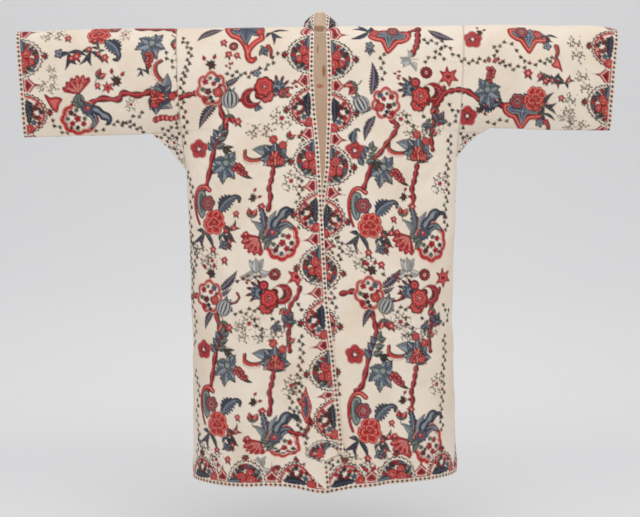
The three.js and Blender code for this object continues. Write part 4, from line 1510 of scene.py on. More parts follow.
BACK_STRIPE = places("""
    five_petal -24 96 0 0.9, serrated 8 120 70 0.8, spray -18 178 80,
    berry_sprig 6 228 20, sprig -26 268 0 0.9, mauve_rose -14 322 0 0.9,
    scalloped 2 344 60 0.8, slender -30 352 100 0.9, blossom -4 430, spray -22 470 100,
    floret 6 512, berries -20 548 10 0.9, sprig -10 604 0 0.9""")
BACK_GARLANDS = (
    route("-46 20, -6 46, 14 84, -2 130, -40 168, -44 214, -12 250, 12 296"),
    route("12 396, -34 412, -40 450, 4 478, 10 540, -34 584"),
)
GUSSET = places("""
    sprig 26 30 0 0.7, small_leaf 62 40 30 0.7, blossom 44 66 0 0.8,
    comb_leaf 70 84 20 0.7, spray 20 84 40 0.6""")
GUSSET_GARLANDS = (route("4 8, 30 14, 58 10, 88 20"), route("8 60, 30 52, 50 30"))
RIGHT_YOKE = places("""
    serrated -260 30 150 0.95, calyx -200 48, small_rose -160 46, slender -129 52 10,
    blossom -255 77 0 0.9, round_flower -229 90 0 0.75, blossom -241 112 20 0.9,
    blossom -220 115 -20 0.8, drops -241 134 40 0.9, small_leaf -150 104 60,
    strip -134 110 40""")
LEFT_YOKE = places("""
    cup 184 80 8 1 -1, mauve_rose 194 50 0 0.8, small_rose 144 56,
    slender 130 54 165 1.2, small_leaf 132 108 90 0.8, floret 132 98 0 1.1,
    tulip 230 136 -105 0.72, serrated 289 44 22 0.9, serrated 135 228 -88 1.05,
    bud 93 208 245 1.4, serrated 146 285 113 0.9, serrated 143 262 148 0.5,
    bloom 175 252 0 0.95 -1, bulb 108 256 -28 0.98 -1, scalloped 89 360 -80 0.62,
    leaf_cluster 124 396 20 1.15""")
LEFT_YOKE_STALKS = (
    stalk(12, "262 36, 260 60, 259 80, 254 98, 243 118"),
    stalk(8, "214 84, 226 66, 240 50, 256 44"),
    stalk(10, "188 294, 203 304, 199 324, 178 354, 162 378, 138 408, 128 440, 116 476"),
    stalk(11, "404 214, 372 208, 350 211, 331 218, 319 235, 309 250"),
)
LEFT_YOKE_GARLANDS = (
    route("275 79, 297 81, 327 83, 348 106, 373 127, 392 130"),
    route("318 96, 302 120, 278 132"), route("318 96, 324 127"),
    route("166 118, 163 138, 166 160, 168 184"),
)
RIGHT_SLEEVE = places("""
    mauve_rose -552 14 0 0.8, peony -593 34, scalloped -574 58 50, floret -697 84 0 1.2,
    slender -672 82 30 1.15, slender -612 84 60 1.1, blossom -649 95 0 1.1,
    blossom -664 98 40 0.8, blossom -617 78 0 0.8, blossom -572 106,
    twigs -588 84 150 0.7, great_bloom -645 256 90 0.96, carnation -643 196 118 1.05,
    bud -590 156 45 1.1, blossom -592 178 0 0.8, star_flower -566 186 0 0.6,
    berry_sprig -540 162 20 1.05, horn -714 222, comb_leaf -424 152 70,
    lotus -420 217 90 1.12, small_rose -392 216 0 0.9, chain -408 272,
    blue_leaf -448 68 10 1.05, berries -458 112 25 0.95, slender -474 140 50 0.55,
    bud -382 64 160 1.4, slender -376 86 50 0.6, sprig -505 232 0 0.6,
    spray -716 30 5 0.9, blossom -675 40 0 0.9, spray -716 136 80 0.6,
    spray -730 172 20 0.8, sprig -520 40 0 0.6""")
LEFT_SLEEVE = places("""
    five_petal 406 70, cup 557 66, mauve_rose 540 42 0 0.85, small_rose 582 50 0 0.9,
    slender 604 52 20 0.7, floret 605 82 0 1.1, strip 629 97 60 1.1,
    horn 634 124 190 0.7, berry_sprig 428 44 30 0.7, berries 449 162 28,
    small_rose 449 126 0 0.45, small_rose 468 124 0 0.5, scalloped 424 236 184 0.9 -1,
    blue_leaf 446 203 0 1 -1, five_petal 393 276 0 1.05, berry_sprig 432 258 100 0.8,
    scalloped 546 212 -121 1.1 -1, blossom 554 157 0 1.1, cup 543 272,
    mauve_rose 528 232, peony 575 224, small_rose 578 249 0 0.8, twigs 626 168 90 0.9,
    twigs 655 176 100 0.8 -1, slender 598 240 -40, blossom 646 217 0 0.8,
    blossom 600 176 0 0.8, slender 600 262 40 0.8, floret 592 289 0 1.1,
    strip 612 298 40 1.1, spray 684 86 80, spray 706 174 70 0.9, spray 669 236 95 0.9,
    spray 664 270 20 0.7, spray 690 292 0 0.9""")

# %% Stalks and garlands, as paths over the flat cloth
STALKS = (
    stalk(11, "-376 222, -346 214, -322 210", BLOOM),
    stalk(11, """
        -268 222, -262 262, -252 290, -250 318, -272 340, -284 372, -296 420, -306 458,
        -322 474""", BUSH),
    stalk(10, "-121 410, -124 430, -128 452, -134 474, -130 498, -136 530", LOTUS),
    stalk(6, "-222 238, -204 234", BLOOM),
)
ROSE_STALK = stalk(9, """
    -52 203, -60 226, -74 243, -81 262, -78 282, -76 294, -82 316, -82 345, -79 368""", LOTUS)
LOW_STALKS = (
    STALKS[0],
    stalk(11, """
        -290 246, -282 264, -273 296, -268 322, -276 344, -286 372, -296 420, -306 458,
        -322 474""", BUSH),
    STALKS[2],
    stalk(4, "-240 236, -222 232, -214 220, -220 208", BLOOM),
    ROSE_STALK,
)
GARLANDS = (
    route("-368 60, -345 95, -352 140, -364 176, -366 232, -358 290, -372 352"),
    route("-246 168, -214 164, -188 172, -160 160, -132 148, -116 118"),
    route("-370 420, -352 470, -366 540, -360 600, -372 650, -362 690"),
    route("-236 706, -200 712, -176 700, -150 716"),
    route("-52 330, -48 380, -56 430, -50 480, -60 530, -52 580"),
)
LOW_GARLANDS = (
    GARLANDS[0], route("-240 256, -206 263, -178 254, -152 259"), *GARLANDS[2:],
    route("-176 282, -160 300, -150 322"), route("-60 250, -34 270, -50 300"),
    route("-133 264, -118 284, -103 307"),
)
SLEEVE_GARLANDS = {
    "right": (
        route("-412 100, -392 130, -372 158"), route("-376 100, -372 150, -380 172"),
        route("-604 302, -560 282, -528 284, -500 292, -478 304"),
        route("-528 284, -500 268, -476 258"), route("-722 262, -700 286, -676 306"),
        route("-374 224, -372 262, -384 296, -420 304"),
    ),
    "left": (
        route("""
            344 103, 368 125, 402 134, 431 126, 468 125, 488 134, 517 146, 560 134,
            597 126, 617 117"""),
        route("468 114, 470 88, 508 77"), route("520 100, 536 112, 540 126"),
        route("451 294, 476 290, 500 283"), route("386 306, 372 290, 380 250"),
    ),
}
SLEEVE_STALKS = {
    "right": (
        stalk(13, "-620 226, -585 214, -540 218, -524 202, -484 208, -452 198"),
        stalk(12, "-386 212, -372 206"),
        stalk(16, "-490 14, -440 18, -400 20, -380 34"),
    ),
    "left": (
        stalk(12, "374 211, 391 211, 425 231, 460 234, 488 245, 502 258"),
    ),
}

# %% [markdown]
# ## Stamping
# A cloth is a set of points with flat coordinates and a colour each. `stamp` moves the points
# near a motif into that motif's own axes and lets it lay its dyes on them.

# %% Stamp and scatter
def new_cloth(x, y):
    colour = np.empty((x.size, 3))
    colour[:] = DYES["ground"]
    return dict(x=x.ravel().astype(float), y=y.ravel().astype(float), colour=colour)


def stamp(cloth, draw, reach, across, down, turn=0.0, size=1.0, flip=1, where=None):
    """Points within reach, less the motif's place, turned back, mirrored and divided by size."""
    dx, dy = cloth["x"] - across, cloth["y"] - down
    near = (np.abs(dx) < reach * size) & (np.abs(dy) < reach * size)
    if where is not None:
        near &= where
    near = np.flatnonzero(near)
    if near.size == 0:
        return
    a = math.radians(turn)
    x = (dx[near] * math.cos(a) + dy[near] * math.sin(a)) * flip / size
    y = (dy[near] * math.cos(a) - dx[near] * math.sin(a)) / size
    spot = Spot(x, y, cloth["colour"][near], SOFT_EDGE / size)
    draw(spot)
    cloth["colour"][near] = spot.colour


def scatter(cloth, places, across=0.0, down=0.0, where=None):
    for place in places:
        draw, reach = MOTIFS[place["motif"]]
        stamp(cloth, draw, reach * 1.1, place["across"] + across, place["down"] + down,
              place["turn"], place["size"], place["flip"], where)


def trail(cloth, stalks, garlands, across=0.0, down=0.0):
    """Stalks and garlands are drawn in place, so their reach is half their longest side."""
    ways = [(branch(s["points"], s["width"]), s["points"]) for s in stalks]
    ways += [(garland(points), points) for points in garlands]
    for draw, points in ways:
        spread = np.array(points, float)
        centre = (spread.max(0) + spread.min(0)) / 2
        reach = float((np.ptp(spread, axis=0) / 2).max()) + 14

        def shifted(s, draw=draw, centre=centre):
            s.x, s.y = s.x + centre[0], s.y + centre[1]
            draw(s)

        stamp(cloth, shifted, reach, centre[0] + across, centre[1] + down)


TOP_ROW = dict(bloom=BLOOM_GROUP, shrub=SHRUB, rose=TURNED_ROSE_GROUP, stalks=STALKS,
               garlands=GARLANDS)
LOW_ROW = dict(TOP_ROW, bloom=LOW_BLOOM_GROUP, stalks=LOW_STALKS, garlands=LOW_GARLANDS)


def print_body(cloth, across, rows, drift=((0, 0), (0, 0), (0, 0)), **first):
    """One column of repeats. first holds what row 0 has in place of the usual groups. drift moves
    the blooms, the shrubs and the lotus, across and down, because hand blocks slip a little."""
    for row in rows:
        down = row * REPEAT_DOWN
        has = {**TOP_ROW, **first} if row == 0 else LOW_ROW
        trail(cloth, (), has["garlands"], across, down)
        for stem in has["stalks"]:
            trail(cloth, (stem,), (), across + drift[stem["group"]][0], down)
        for places, (aside, lower) in (
            (has["bloom"], drift[BLOOM]), (has["shrub"], drift[BUSH]), (has["rose"], (0, 0)),
            (LOTUS_GROUP, drift[LOTUS]), (GREAT_GROUP, (0, 0)),
        ):
            scatter(cloth, places, across + aside, down + lower)


# %% [markdown]
# ## Borders
# Front edges, hem and cuffs end in a line of small beads between two bare stripes. On it
# stand half medallions of two kinds, in turn, with a heart between each two. A border is
# printed in its own axes, along the edge and in from it, so that one drawing serves them all.
# Where two borders meet, each keeps to its own side of the mitre.

# %% Border motifs
def beads(s, pitch=12.8, at=5.4):
    """Diamonds: a constant less the distances from the line and from the nearest bead."""
    s.lay("ground", 11.0 - s.y)
    number = np.floor(s.x / pitch)
    depth = 4.6 - np.abs(s.x - (number + 0.5) * pitch) * 0.85 - np.abs(s.y - at) * 1.05
    for i, dye in enumerate(("line", "wine", "moss", "line", "crimson")):
        s.lay(dye, np.where(number % 5 == i, depth, -9.0))


MEDALLION = dict(along=57.0, inward=73.0)
RHO = 69  # millimetres for a rise of 1 in rho, midway between the crown and the sides


def ellipse(s):
    """Rho, which is 1 on the medallion's own ellipse, and the angle round it."""
    x, y = s.x / MEDALLION["along"], s.y / MEDALLION["inward"]
    return np.hypot(x, y), np.arctan2(y, x)


def strung_leaves(s, rho, angle, at=0.95, count=56):
    """Diamonds strung on an ellipse, each turned a little off its line, dark and red by turns."""
    s.lay("ground", (1.04 - rho) * RHO)
    place = angle * count / (2 * np.pi)
    number = np.floor(place)
    beside = (rho - at) * RHO + 1.1 * np.where(number % 2 == 0, 1, -1)
    depth = 3.9 - np.abs(beside) - np.abs(place - number - 0.5) * 7.7 * 0.95
    for i, dye in enumerate(("line", "moss", "line", "wine")):
        s.lay(dye, np.where(number % 4 == i, depth, -9.0))


def tip(s):
    """The little ornament at a medallion's crown."""
    at = MEDALLION["inward"] + 2
    for turn in (10, 50, 90, 130, 170):
        blade(s, 0, at, 12, 6, turn, "moss", rim=0.6, vein=None)
    s.lay("wine", petalled(s, 0, at, 6.5, 4, 0.3))
    s.lay("crimson", petalled(s, 0, at, 4.4, 4, 0.3))


def leafy_medallion(s):
    """Strung leaves, a grey feathered ring, and large crimson flowers on the edge."""
    rho, angle = ellipse(s)
    strung_leaves(s, rho, angle)
    ring = 6.4 - np.abs(rho - 0.745) * RHO
    bands(s, ring, "-0.9 line, 0.2 sage")
    s.lay("pearl", np.minimum(ring - 0.8, 2.6 * np.cos(24 * angle) - 0.6), 0.85)
    s.lay("line", np.minimum(ring - 0.4, 2.6 * np.cos(24 * angle + 2.2) - 1.0), 0.85)
    s.lay("ground", (0.63 - rho) * RHO)
    strew(s, """
        -27 22 9 slate, -20 40 8 mauve, 29 30 8 moss, 20 44 7.5 wine, 0 54 7.5 crimson,
        36 15 7 crimson, -37 11 7 moss, -8 47 6 moss, 11 53 6 slate, -34 30 6 crimson,
        36 40 5.5 slate, -14 54 5 wine""")
    for x, y, r in ((-11, 25, 15), (12, 37, 11), (15, 17, 15)):
        rosette(s, x, y, r)
    blade(s, -52, 14, 38, 14, 6, "slate", rim=1.5)
    tip(s)


def red_medallion(s):
    """Strung leaves, a scalloped red ring, and florets on a pale field."""
    rho, angle = ellipse(s)
    strung_leaves(s, rho, angle)
    inner = (0.865 - rho) * RHO + 1.5 * np.abs(np.cos(12 * angle))
    bands(s, inner, "-1 wine, 0 crimson, 4.2 blush, 6.4 crimson, 8 ground")
    strew(s, """
        -14 36 9 wine, 12 46 8 crimson, 2 28 9 crimson, 24 32 8 slate, -25 26 7 moss,
        -3 54 7 deep, 18 20 7 sage, 10 37 6 moss, -12 24 6 sage, -24 44 6 crimson,
        26 46 5.5 wine, -12 48 5 moss""")
    blade(s, -38, 17, 66, 18, 2, "deep", 3, 7, rim=1.8, vein="slate")
    rosette(s, 40, 19, 12, "crimson")
    tip(s)


def heart(s):
    """A red drop that points in from the edge: a dark outline, a bare line and a red heart."""
    drop = outline(s, "0 43, 3 34, 10 27, 17 20, 18 12, 0 9, -18 12, -17 20, -10 27, -3 34")
    bands(s, drop, "-1 wine, 0 crimson, 2.6 ground, 4.2 crimson, 8 wine")
    for side in (-1, 1):
        bend = [(side * x, y) for x, y in ((12, 11), (21, 10), (26, 15), (24, 21))]
        hook = stroke(s, bend, 3.6, 2)
        bands(s, hook, "-0.7 wine, 0 crimson")
    s.lay("wine", stroke(s, [(0, 42), (0, 52)], 1.6, 0.8))


def edge_axes(cloth, line):
    """Along and in from a bent line: the nearest of its segments gives both."""
    best = np.full(cloth["x"].shape, np.inf)
    along = np.zeros_like(best)
    run = 0.0
    for (ax, ay), (bx, by) in zip(line, line[1:]):
        length = math.hypot(bx - ax, by - ay)
        ux, uy = (bx - ax) / length, (by - ay) / length
        t = np.clip((cloth["x"] - ax) * ux + (cloth["y"] - ay) * uy, 0, length)
        away = np.hypot(cloth["x"] - ax - t * ux, cloth["y"] - ay - t * uy)
        nearer = away < best
        best = np.where(nearer, away, best)
        along = np.where(nearer, run + t, along)
        run += length
    return along, best


def print_border(cloth, along, inward, places, start="leafy", where=None):
    """Medallions of two kinds in turn at the places, hearts half way between, then the beads."""
    edge = dict(x=along, y=inward, colour=cloth["colour"])
    if where is None:
        where = np.ones(along.shape, bool)
    kinds = [leafy_medallion, red_medallion]
    if start != "leafy":
        kinds.reverse()
    places = list(places)
    before = [2 * places[0] - places[1], *places]
    for i, at in enumerate(places):
        stamp(edge, heart, 70, (before[i] + at) / 2, 0, size=1.2, where=where)
    stamp(edge, heart, 70, 1.5 * places[-1] - places[-2] / 2, 0, size=1.2, where=where)
    for i, at in enumerate(places):
        stamp(edge, kinds[i % 2], 98, at, 0, where=where)
    near = np.flatnonzero((inward < 16) & where)
    spot = Spot(along[near], inward[near], cloth["colour"][near], SOFT_EDGE)
    beads(spot)
    cloth["colour"][near] = spot.colour


# %% [markdown]
# ## Printing the pieces
# Each cloth is printed in order: garlands and stalks, then flowers, then its borders. Fronts
# also share their yoke motifs with the back, because the cloth runs over the shoulder in one.

# %% Print fronts and back
def edge_line(side, cut):
    """The inner edge's corners on the flat cloth, from the foot of the neck to the hem."""
    column = -1 if side == "right" else 0
    levels = [row["level"] for row in FRONT_EDGE[side] if row["level"] <= -24]
    z = cut["grid"][:, column, 2]
    at = [int(np.argmin(np.abs(z - level))) for level in levels]
    return [(float(cut["p"][i, column]), float(cut["q"][i, column])) for i in at]


prints = {}
front_right_print = prints["front_right_cloth"] = new_cloth(front_right["p"], front_right["q"])
print_body(front_right_print, 0, (0, 1, 2), rose=ROSE_GROUP)
print_body(front_right_print, -REPEAT_ACROSS, (0, 1, 2))
scatter(front_right_print, RIGHT_YOKE)

front_left_print = prints["front_left_cloth"] = new_cloth(front_left["p"], front_left["q"])
LEFT_DRIFT = ((32, 2), (17, 21), (-20, -16))
print_body(front_left_print, REPEAT_ACROSS, (0, 1, 2), LEFT_DRIFT, bloom=(), shrub=SHRUB[1:],
           stalks=(STALKS[2], ROSE_STALK), garlands=LOW_GARLANDS[2:])
print_body(front_left_print, 2 * REPEAT_ACROSS, (0, 1, 2))
trail(front_left_print, LEFT_YOKE_STALKS, LEFT_YOKE_GARLANDS)
scatter(front_left_print, LEFT_YOKE)

EDGE_PITCH, HEM_PITCH, CUFF_PITCH = 140.5, 140, 150
BORDER_DEPTH = 90
LOW_EDGE = (900, 1026)  # the lowest two stand a little closer
for side, cut, cloth, first, hem_first in (
    ("right", front_right, front_right_print, 62, -342),
    ("left", front_left, front_left_print, 78, 68),
):
    to_hem = (cut["q"].max(axis=0) - cut["q"]).ravel()
    along, inward = edge_axes(cloth, edge_line(side, cut))
    print_border(cloth, cloth["x"], to_hem, hem_first + HEM_PITCH * np.arange(3), "red",
                 where=(to_hem < inward) & (to_hem < BORDER_DEPTH))
    if side == "right":
        inward_right = inward
    print_border(cloth, along, inward, [*(first + EDGE_PITCH * np.arange(6)), *LOW_EDGE],
                 where=(inward <= to_hem) & (inward < BORDER_DEPTH))

CORNER_STALK = (stalk(8, "-30 1078, -32 1105, -42 1120, -62 1118, -84 1112"),)
CORNER_GARLAND = (route("-58 985, -74 1010, -76 1056, -48 1104, -36 1140"),)
trail(front_right_print, CORNER_STALK, CORNER_GARLAND)
stamp(front_right_print, spear, 80, -36, 1044, size=0.66, flip=-1)
stamp(front_right_print, leafy_medallion, 98, 16, 1184, 112, size=0.8,
      where=(front_right_print["x"] > -40) & (inward_right > 12))

for name, cut in (("back_right_half", back_right), ("back_left_half", back_left)):
    cloth = prints[name] = new_cloth(cut["p"], cut["q"])
    for across in (-460, -60, 340, 740):
        print_body(cloth, across, (-1, 0, 1, 2))
        for row in (0, 1, 2):
            trail(cloth, (), BACK_GARLANDS, across, row * REPEAT_DOWN)
            scatter(cloth, BACK_STRIPE, across, row * REPEAT_DOWN)
    over = dict(x=cloth["x"], y=-cloth["y"], colour=cloth["colour"])
    scatter(over, RIGHT_YOKE)
    scatter(over, [row for row in LEFT_YOKE if row["down"] < 120])
    to_hem = (cut["q"].max(axis=0) - cut["q"]).ravel()
    print_border(cloth, cloth["x"], to_hem, HEM_PITCH * np.arange(-3, 4), "red",
                 where=to_hem < BORDER_DEPTH)
print("fronts and back printed:", sum(c["x"].size for c in prints.values()), "points")

# %% Print sleeves, gussets and neckband
SLEEVE_TABLES = {"right": RIGHT_SLEEVE, "left": LEFT_SLEEVE}


def print_sleeve(side, cut, first, start):
    """The front of each sleeve, and on its hidden side the other sleeve's front, mirrored."""
    other = "left" if side == "right" else "right"
    cloth = new_cloth(cut["p"], cut["q"])
    hidden = dict(x=-cloth["x"], y=-cloth["y"], colour=cloth["colour"])
    trail(hidden, SLEEVE_STALKS[other], SLEEVE_GARLANDS[other])
    scatter(hidden, SLEEVE_TABLES[other])
    trail(cloth, SLEEVE_STALKS[side], SLEEVE_GARLANDS[side])
    scatter(cloth, SLEEVE_TABLES[side])
    to_cuff = cut["to_cuff"].ravel()
    print_border(cloth, cloth["y"], to_cuff, first + CUFF_PITCH * np.arange(5), start,
                 where=to_cuff < BORDER_DEPTH)
    return cloth


prints["sleeve_right_cloth"] = print_sleeve("right", sleeve_right, -361, "red")
prints["sleeve_left_cloth"] = print_sleeve("left", sleeve_left, -375, "leafy")
for name, cut in (("gusset_right_cloth", gusset_right), ("gusset_left_cloth", gusset_left)):
    cloth = prints[name] = new_cloth(np.abs(cut["p"]), cut["q"])
    trail(cloth, (), GUSSET_GARLANDS)
    scatter(cloth, GUSSET)
collar_print = prints["neckband_cloth"] = new_cloth(collar["p"], collar["q"])
print_border(collar_print, collar_print["x"], collar_print["y"], EDGE_PITCH / 2 * np.arange(-2, 3))
print("sleeves, gussets and neckband printed")

# %% Put the colours on the meshes
def set_colours(name, label, values):
    """The outside keeps its own values. The inside takes those of the points it was made from."""
    inner = values[::INNER_STEP, ::INNER_STEP]
    both = np.concatenate([values.reshape(-1, 4), inner.reshape(-1, 4)])
    layer = pieces[name].data.color_attributes.new(label, "FLOAT_COLOR", "POINT")
    layer.data.foreach_set("color", both.astype(np.float32).ravel())


for name, cloth in prints.items():
    colour = cloth["colour"].reshape(*cuts[name]["grid"].shape[:2], 3)
    set_colours(name, "print", np.concatenate([colour, np.ones_like(colour[..., :1])], axis=-1))
print("colours laid on", len(prints), "pieces")

# %% [markdown]
# ## Finishes
# The cloth is a fine plain weave: each thread passes over one and under the next. It was
# glazed once, by rubbing, and the glaze has worn to patches. Washing has faded the dyes in
# specks, and age has left the ground cream with faint tan clouds. Each of these effects is a
# node group, so that the printed cloth, the neckband and the lining share it at their own
# strengths. The weave and stains follow the piece's own flat coordinates, in metres.

# %% Small builders for node trees
def put(tree, socket, value):
    """Joins a socket to a value: a link from another socket, or a plain number."""
    if isinstance(value, bpy.types.NodeSocket):
        tree.links.new(value, socket)
    elif value is not None:
        socket.default_value = value


def sum_of(tree, operation, a, b=None, c=None, clamp=False):
    """One step of arithmetic between sockets or numbers."""
    node = tree.nodes.new("ShaderNodeMath")
    node.operation, node.use_clamp = operation, clamp
    for socket, value in zip(node.inputs, (a, b, c)):
        put(tree, socket, value)
    return node.outputs[0]


def scaled(tree, vector, factors):
    node = tree.nodes.new("ShaderNodeVectorMath")
    node.operation = "MULTIPLY"
    put(tree, node.inputs[0], vector)
    put(tree, node.inputs[1], factors)
    return node.outputs[0]


def cloudy(tree, vector, scale, detail=3.0):
    """Noise between 0 and 1, with this many clouds to the metre."""
    node = tree.nodes.new("ShaderNodeTexNoise")
    put(tree, node.inputs["Vector"], vector)
    node.inputs["Scale"].default_value = scale
    node.inputs["Detail"].default_value = detail
    return node.outputs["Fac"]


def ramp(tree, value, low, high):
    """0 below low, 1 above high and an eased rise between."""
    node = tree.nodes.new("ShaderNodeMapRange")
    node.interpolation_type = "SMOOTHSTEP"
    put(tree, node.inputs["Value"], value)
    put(tree, node.inputs["From Min"], low)
    put(tree, node.inputs["From Max"], high)
    return node.outputs["Result"]


def tint(tree, share, a, b, blend="MIX"):
    """Colour a, with colour b laid over it by a share."""
    node = tree.nodes.new("ShaderNodeMix")
    node.data_type, node.blend_type = "RGBA", blend
    for index, value in ((0, share), (6, a), (7, b)):
        put(tree, node.inputs[index], value)
    return node.outputs[2]


def new_group(name, inputs, outputs):
    """An empty node group. inputs and outputs map each socket's name to its kind."""
    group = bpy.data.node_groups.new(name, "ShaderNodeTree")
    for label, kind in inputs.items():
        group.interface.new_socket(label, in_out="INPUT", socket_type="NodeSocket" + kind)
    for label, kind in outputs.items():
        group.interface.new_socket(label, in_out="OUTPUT", socket_type="NodeSocket" + kind)
    given = group.nodes.new("NodeGroupInput").outputs
    return group, given, group.nodes.new("NodeGroupOutput").inputs


def place(tree, group, **values):
    """A group node with its inputs set or linked. Underscores in names stand for spaces."""
    node = tree.nodes.new("ShaderNodeGroup")
    node.node_tree = group
    for label, value in values.items():
        put(tree, node.inputs[label.replace("_", " ")], value)
    return node.outputs


# %% Weave, ageing, stitching and blots
def plain_weave():
    """The product of two sines makes the over and under. Noise drawn out along warp and weft
    adds slubs, the thick places in hand-spun thread."""
    group, given, made = new_group(
        "plain_weave", {"Vector": "Vector", "Threads": "Float", "Slubs": "Float"},
        {"Height": "Float", "Thread": "Float"},
    )
    parts = group.nodes.new("ShaderNodeSeparateXYZ")
    group.links.new(given["Vector"], parts.inputs[0])
    turns = sum_of(group, "MULTIPLY", given["Threads"], math.pi)
    warp, weft = (
        sum_of(group, "SINE", sum_of(group, "MULTIPLY", parts.outputs[axis], turns))
        for axis in ("X", "Y")
    )
    over = sum_of(group, "MULTIPLY_ADD", sum_of(group, "MULTIPLY", warp, weft), 0.5, 0.5)
    down = cloudy(group, scaled(group, given["Vector"], (1, 0.06, 1)), 900, 1.0)
    across = cloudy(group, scaled(group, given["Vector"], (0.06, 1, 1)), 900, 1.0)
    slubs = sum_of(group, "ADD", ramp(group, down, 0.5, 0.8), ramp(group, across, 0.5, 0.8))
    slubs = sum_of(group, "MULTIPLY", slubs, given["Slubs"])
    put(group, made["Height"], sum_of(group, "MULTIPLY_ADD", over, 0.4, slubs))
    put(group, made["Thread"], slubs)
    return group


def ageing():
    """Tan clouds over all, darker foxing in small spots, and dye worn off in fine specks."""
    group, given, made = new_group(
        "ageing",
        {"Color": "Color", "Bare": "Color", "Vector": "Vector", "Clouds": "Float",
         "Foxing": "Float", "Dye Loss": "Float"},
        {"Color": "Color", "Clouds": "Float"},
    )
    specks = ramp(group, cloudy(group, given["Vector"], 330, 4), 0.52, 0.74)
    patches = ramp(group, cloudy(group, given["Vector"], 14, 3), 0.36, 0.66)
    lost = sum_of(group, "MULTIPLY", sum_of(group, "MULTIPLY", specks, patches), given["Dye Loss"])
    worn = tint(group, lost, given["Color"], given["Bare"])
    clouds = ramp(group, cloudy(group, given["Vector"], 7, 5), 0.38, 0.72)
    worn = tint(group, sum_of(group, "MULTIPLY", clouds, given["Clouds"]), worn,
                (0.80, 0.66, 0.50, 1), "MULTIPLY")
    spots = ramp(group, cloudy(group, given["Vector"], 46, 3), 0.66, 0.80)
    worn = tint(group, sum_of(group, "MULTIPLY", spots, given["Foxing"]), worn,
                (0.58, 0.36, 0.18, 1), "MULTIPLY")
    put(group, made["Color"], worn)
    put(group, made["Clouds"], clouds)
    return group


def running_stitch():
    """A row of short stitches a set distance inside an edge, and the ridge of the cloth turned
    under beyond it. Edge Distance and Along are in metres."""
    group, given, made = new_group(
        "running_stitch",
        {"Edge Distance": "Float", "Along": "Float", "Inset": "Float", "Pitch": "Float"},
        {"Stitch": "Float", "Height": "Float"},
    )
    beyond = sum_of(group, "SUBTRACT", given["Edge Distance"], given["Inset"])
    off = sum_of(group, "ABSOLUTE", beyond)
    line = sum_of(group, "SUBTRACT", 1, ramp(group, off, 0.0003, 0.0009))
    step = sum_of(group, "FRACT", sum_of(group, "DIVIDE", given["Along"], given["Pitch"]))
    dash = sum_of(group, "LESS_THAN", step, 0.55)
    stitch = sum_of(group, "MULTIPLY", line, dash)
    turned = sum_of(group, "SUBTRACT", 1, ramp(group, given["Edge Distance"], 0.008, 0.0105))
    dip = sum_of(group, "SUBTRACT", turned, line)
    put(group, made["Stitch"], stitch)
    put(group, made["Height"], sum_of(group, "MULTIPLY_ADD", stitch, 0.4, dip))
    return group


def blot():
    """A ragged stain: 1 within an ellipsoid about Centre, fading to 0 at its rim."""
    group, given, made = new_group(
        "blot", {"Vector": "Vector", "Centre": "Vector", "Size": "Vector"}, {"Mask": "Float"}
    )
    away = group.nodes.new("ShaderNodeVectorMath")
    away.operation = "SUBTRACT"
    put(group, away.inputs[0], given["Vector"])
    put(group, away.inputs[1], given["Centre"])
    share = group.nodes.new("ShaderNodeVectorMath")
    share.operation = "DIVIDE"
    put(group, share.inputs[0], away.outputs[0])
    put(group, share.inputs[1], given["Size"])
    length = group.nodes.new("ShaderNodeVectorMath")
    length.operation = "LENGTH"
    put(group, length.inputs[0], share.outputs[0])
    ragged = sum_of(group, "MULTIPLY_ADD", cloudy(group, given["Vector"], 120, 4), 0.9,
                    length.outputs["Value"])
    put(group, made["Mask"], sum_of(group, "SUBTRACT", 1, ramp(group, ragged, 1.0, 1.5)))
    return group


WEAVE, AGEING, STITCH, BLOT = plain_weave(), ageing(), running_stitch(), blot()
print("node groups:", [group.name for group in (WEAVE, AGEING, STITCH, BLOT)])

# %% [markdown]
# ## The three cottons
# Printed cotton takes its colours from the points of the mesh, then fades and stains them. Its
# edges hold two measures, the distance to the nearest seam and to the hem or cuff, and rows
# of stitches are drawn at a set distance inside them. The lining is unbleached cotton with no
# glaze. It glows faintly in its own colour, as do the insides of all the pieces: painted light
# that lifts them out of the shade inside the gown.

# %% Cotton materials
BARE_COTTON = (*linear(226, 211, 194), 1)
THREAD = (*linear(206, 188, 166), 1)
UNBLEACHED = (*linear(214, 196, 178), 1)


def start_material(name):
    material = bpy.data.materials.new(name)
    material.use_nodes = True
    tree = material.node_tree
    flat = tree.nodes.new("ShaderNodeUVMap")
    flat.uv_map = "flat_cloth"
    return material, tree, tree.nodes["Principled BSDF"].inputs, flat.outputs[0]


def attribute(tree, name):
    node = tree.nodes.new("ShaderNodeAttribute")
    node.attribute_type, node.attribute_name = "GEOMETRY", name
    return node.outputs


def bumped(tree, height, distance, strength=1.0, under=None):
    """A Bump node. Height 1 stands for this distance in metres."""
    node = tree.nodes.new("ShaderNodeBump")
    put(tree, node.inputs["Height"], height)
    node.inputs["Distance"].default_value = distance
    node.inputs["Strength"].default_value = strength
    put(tree, node.inputs["Normal"], under)
    return node.outputs[0]


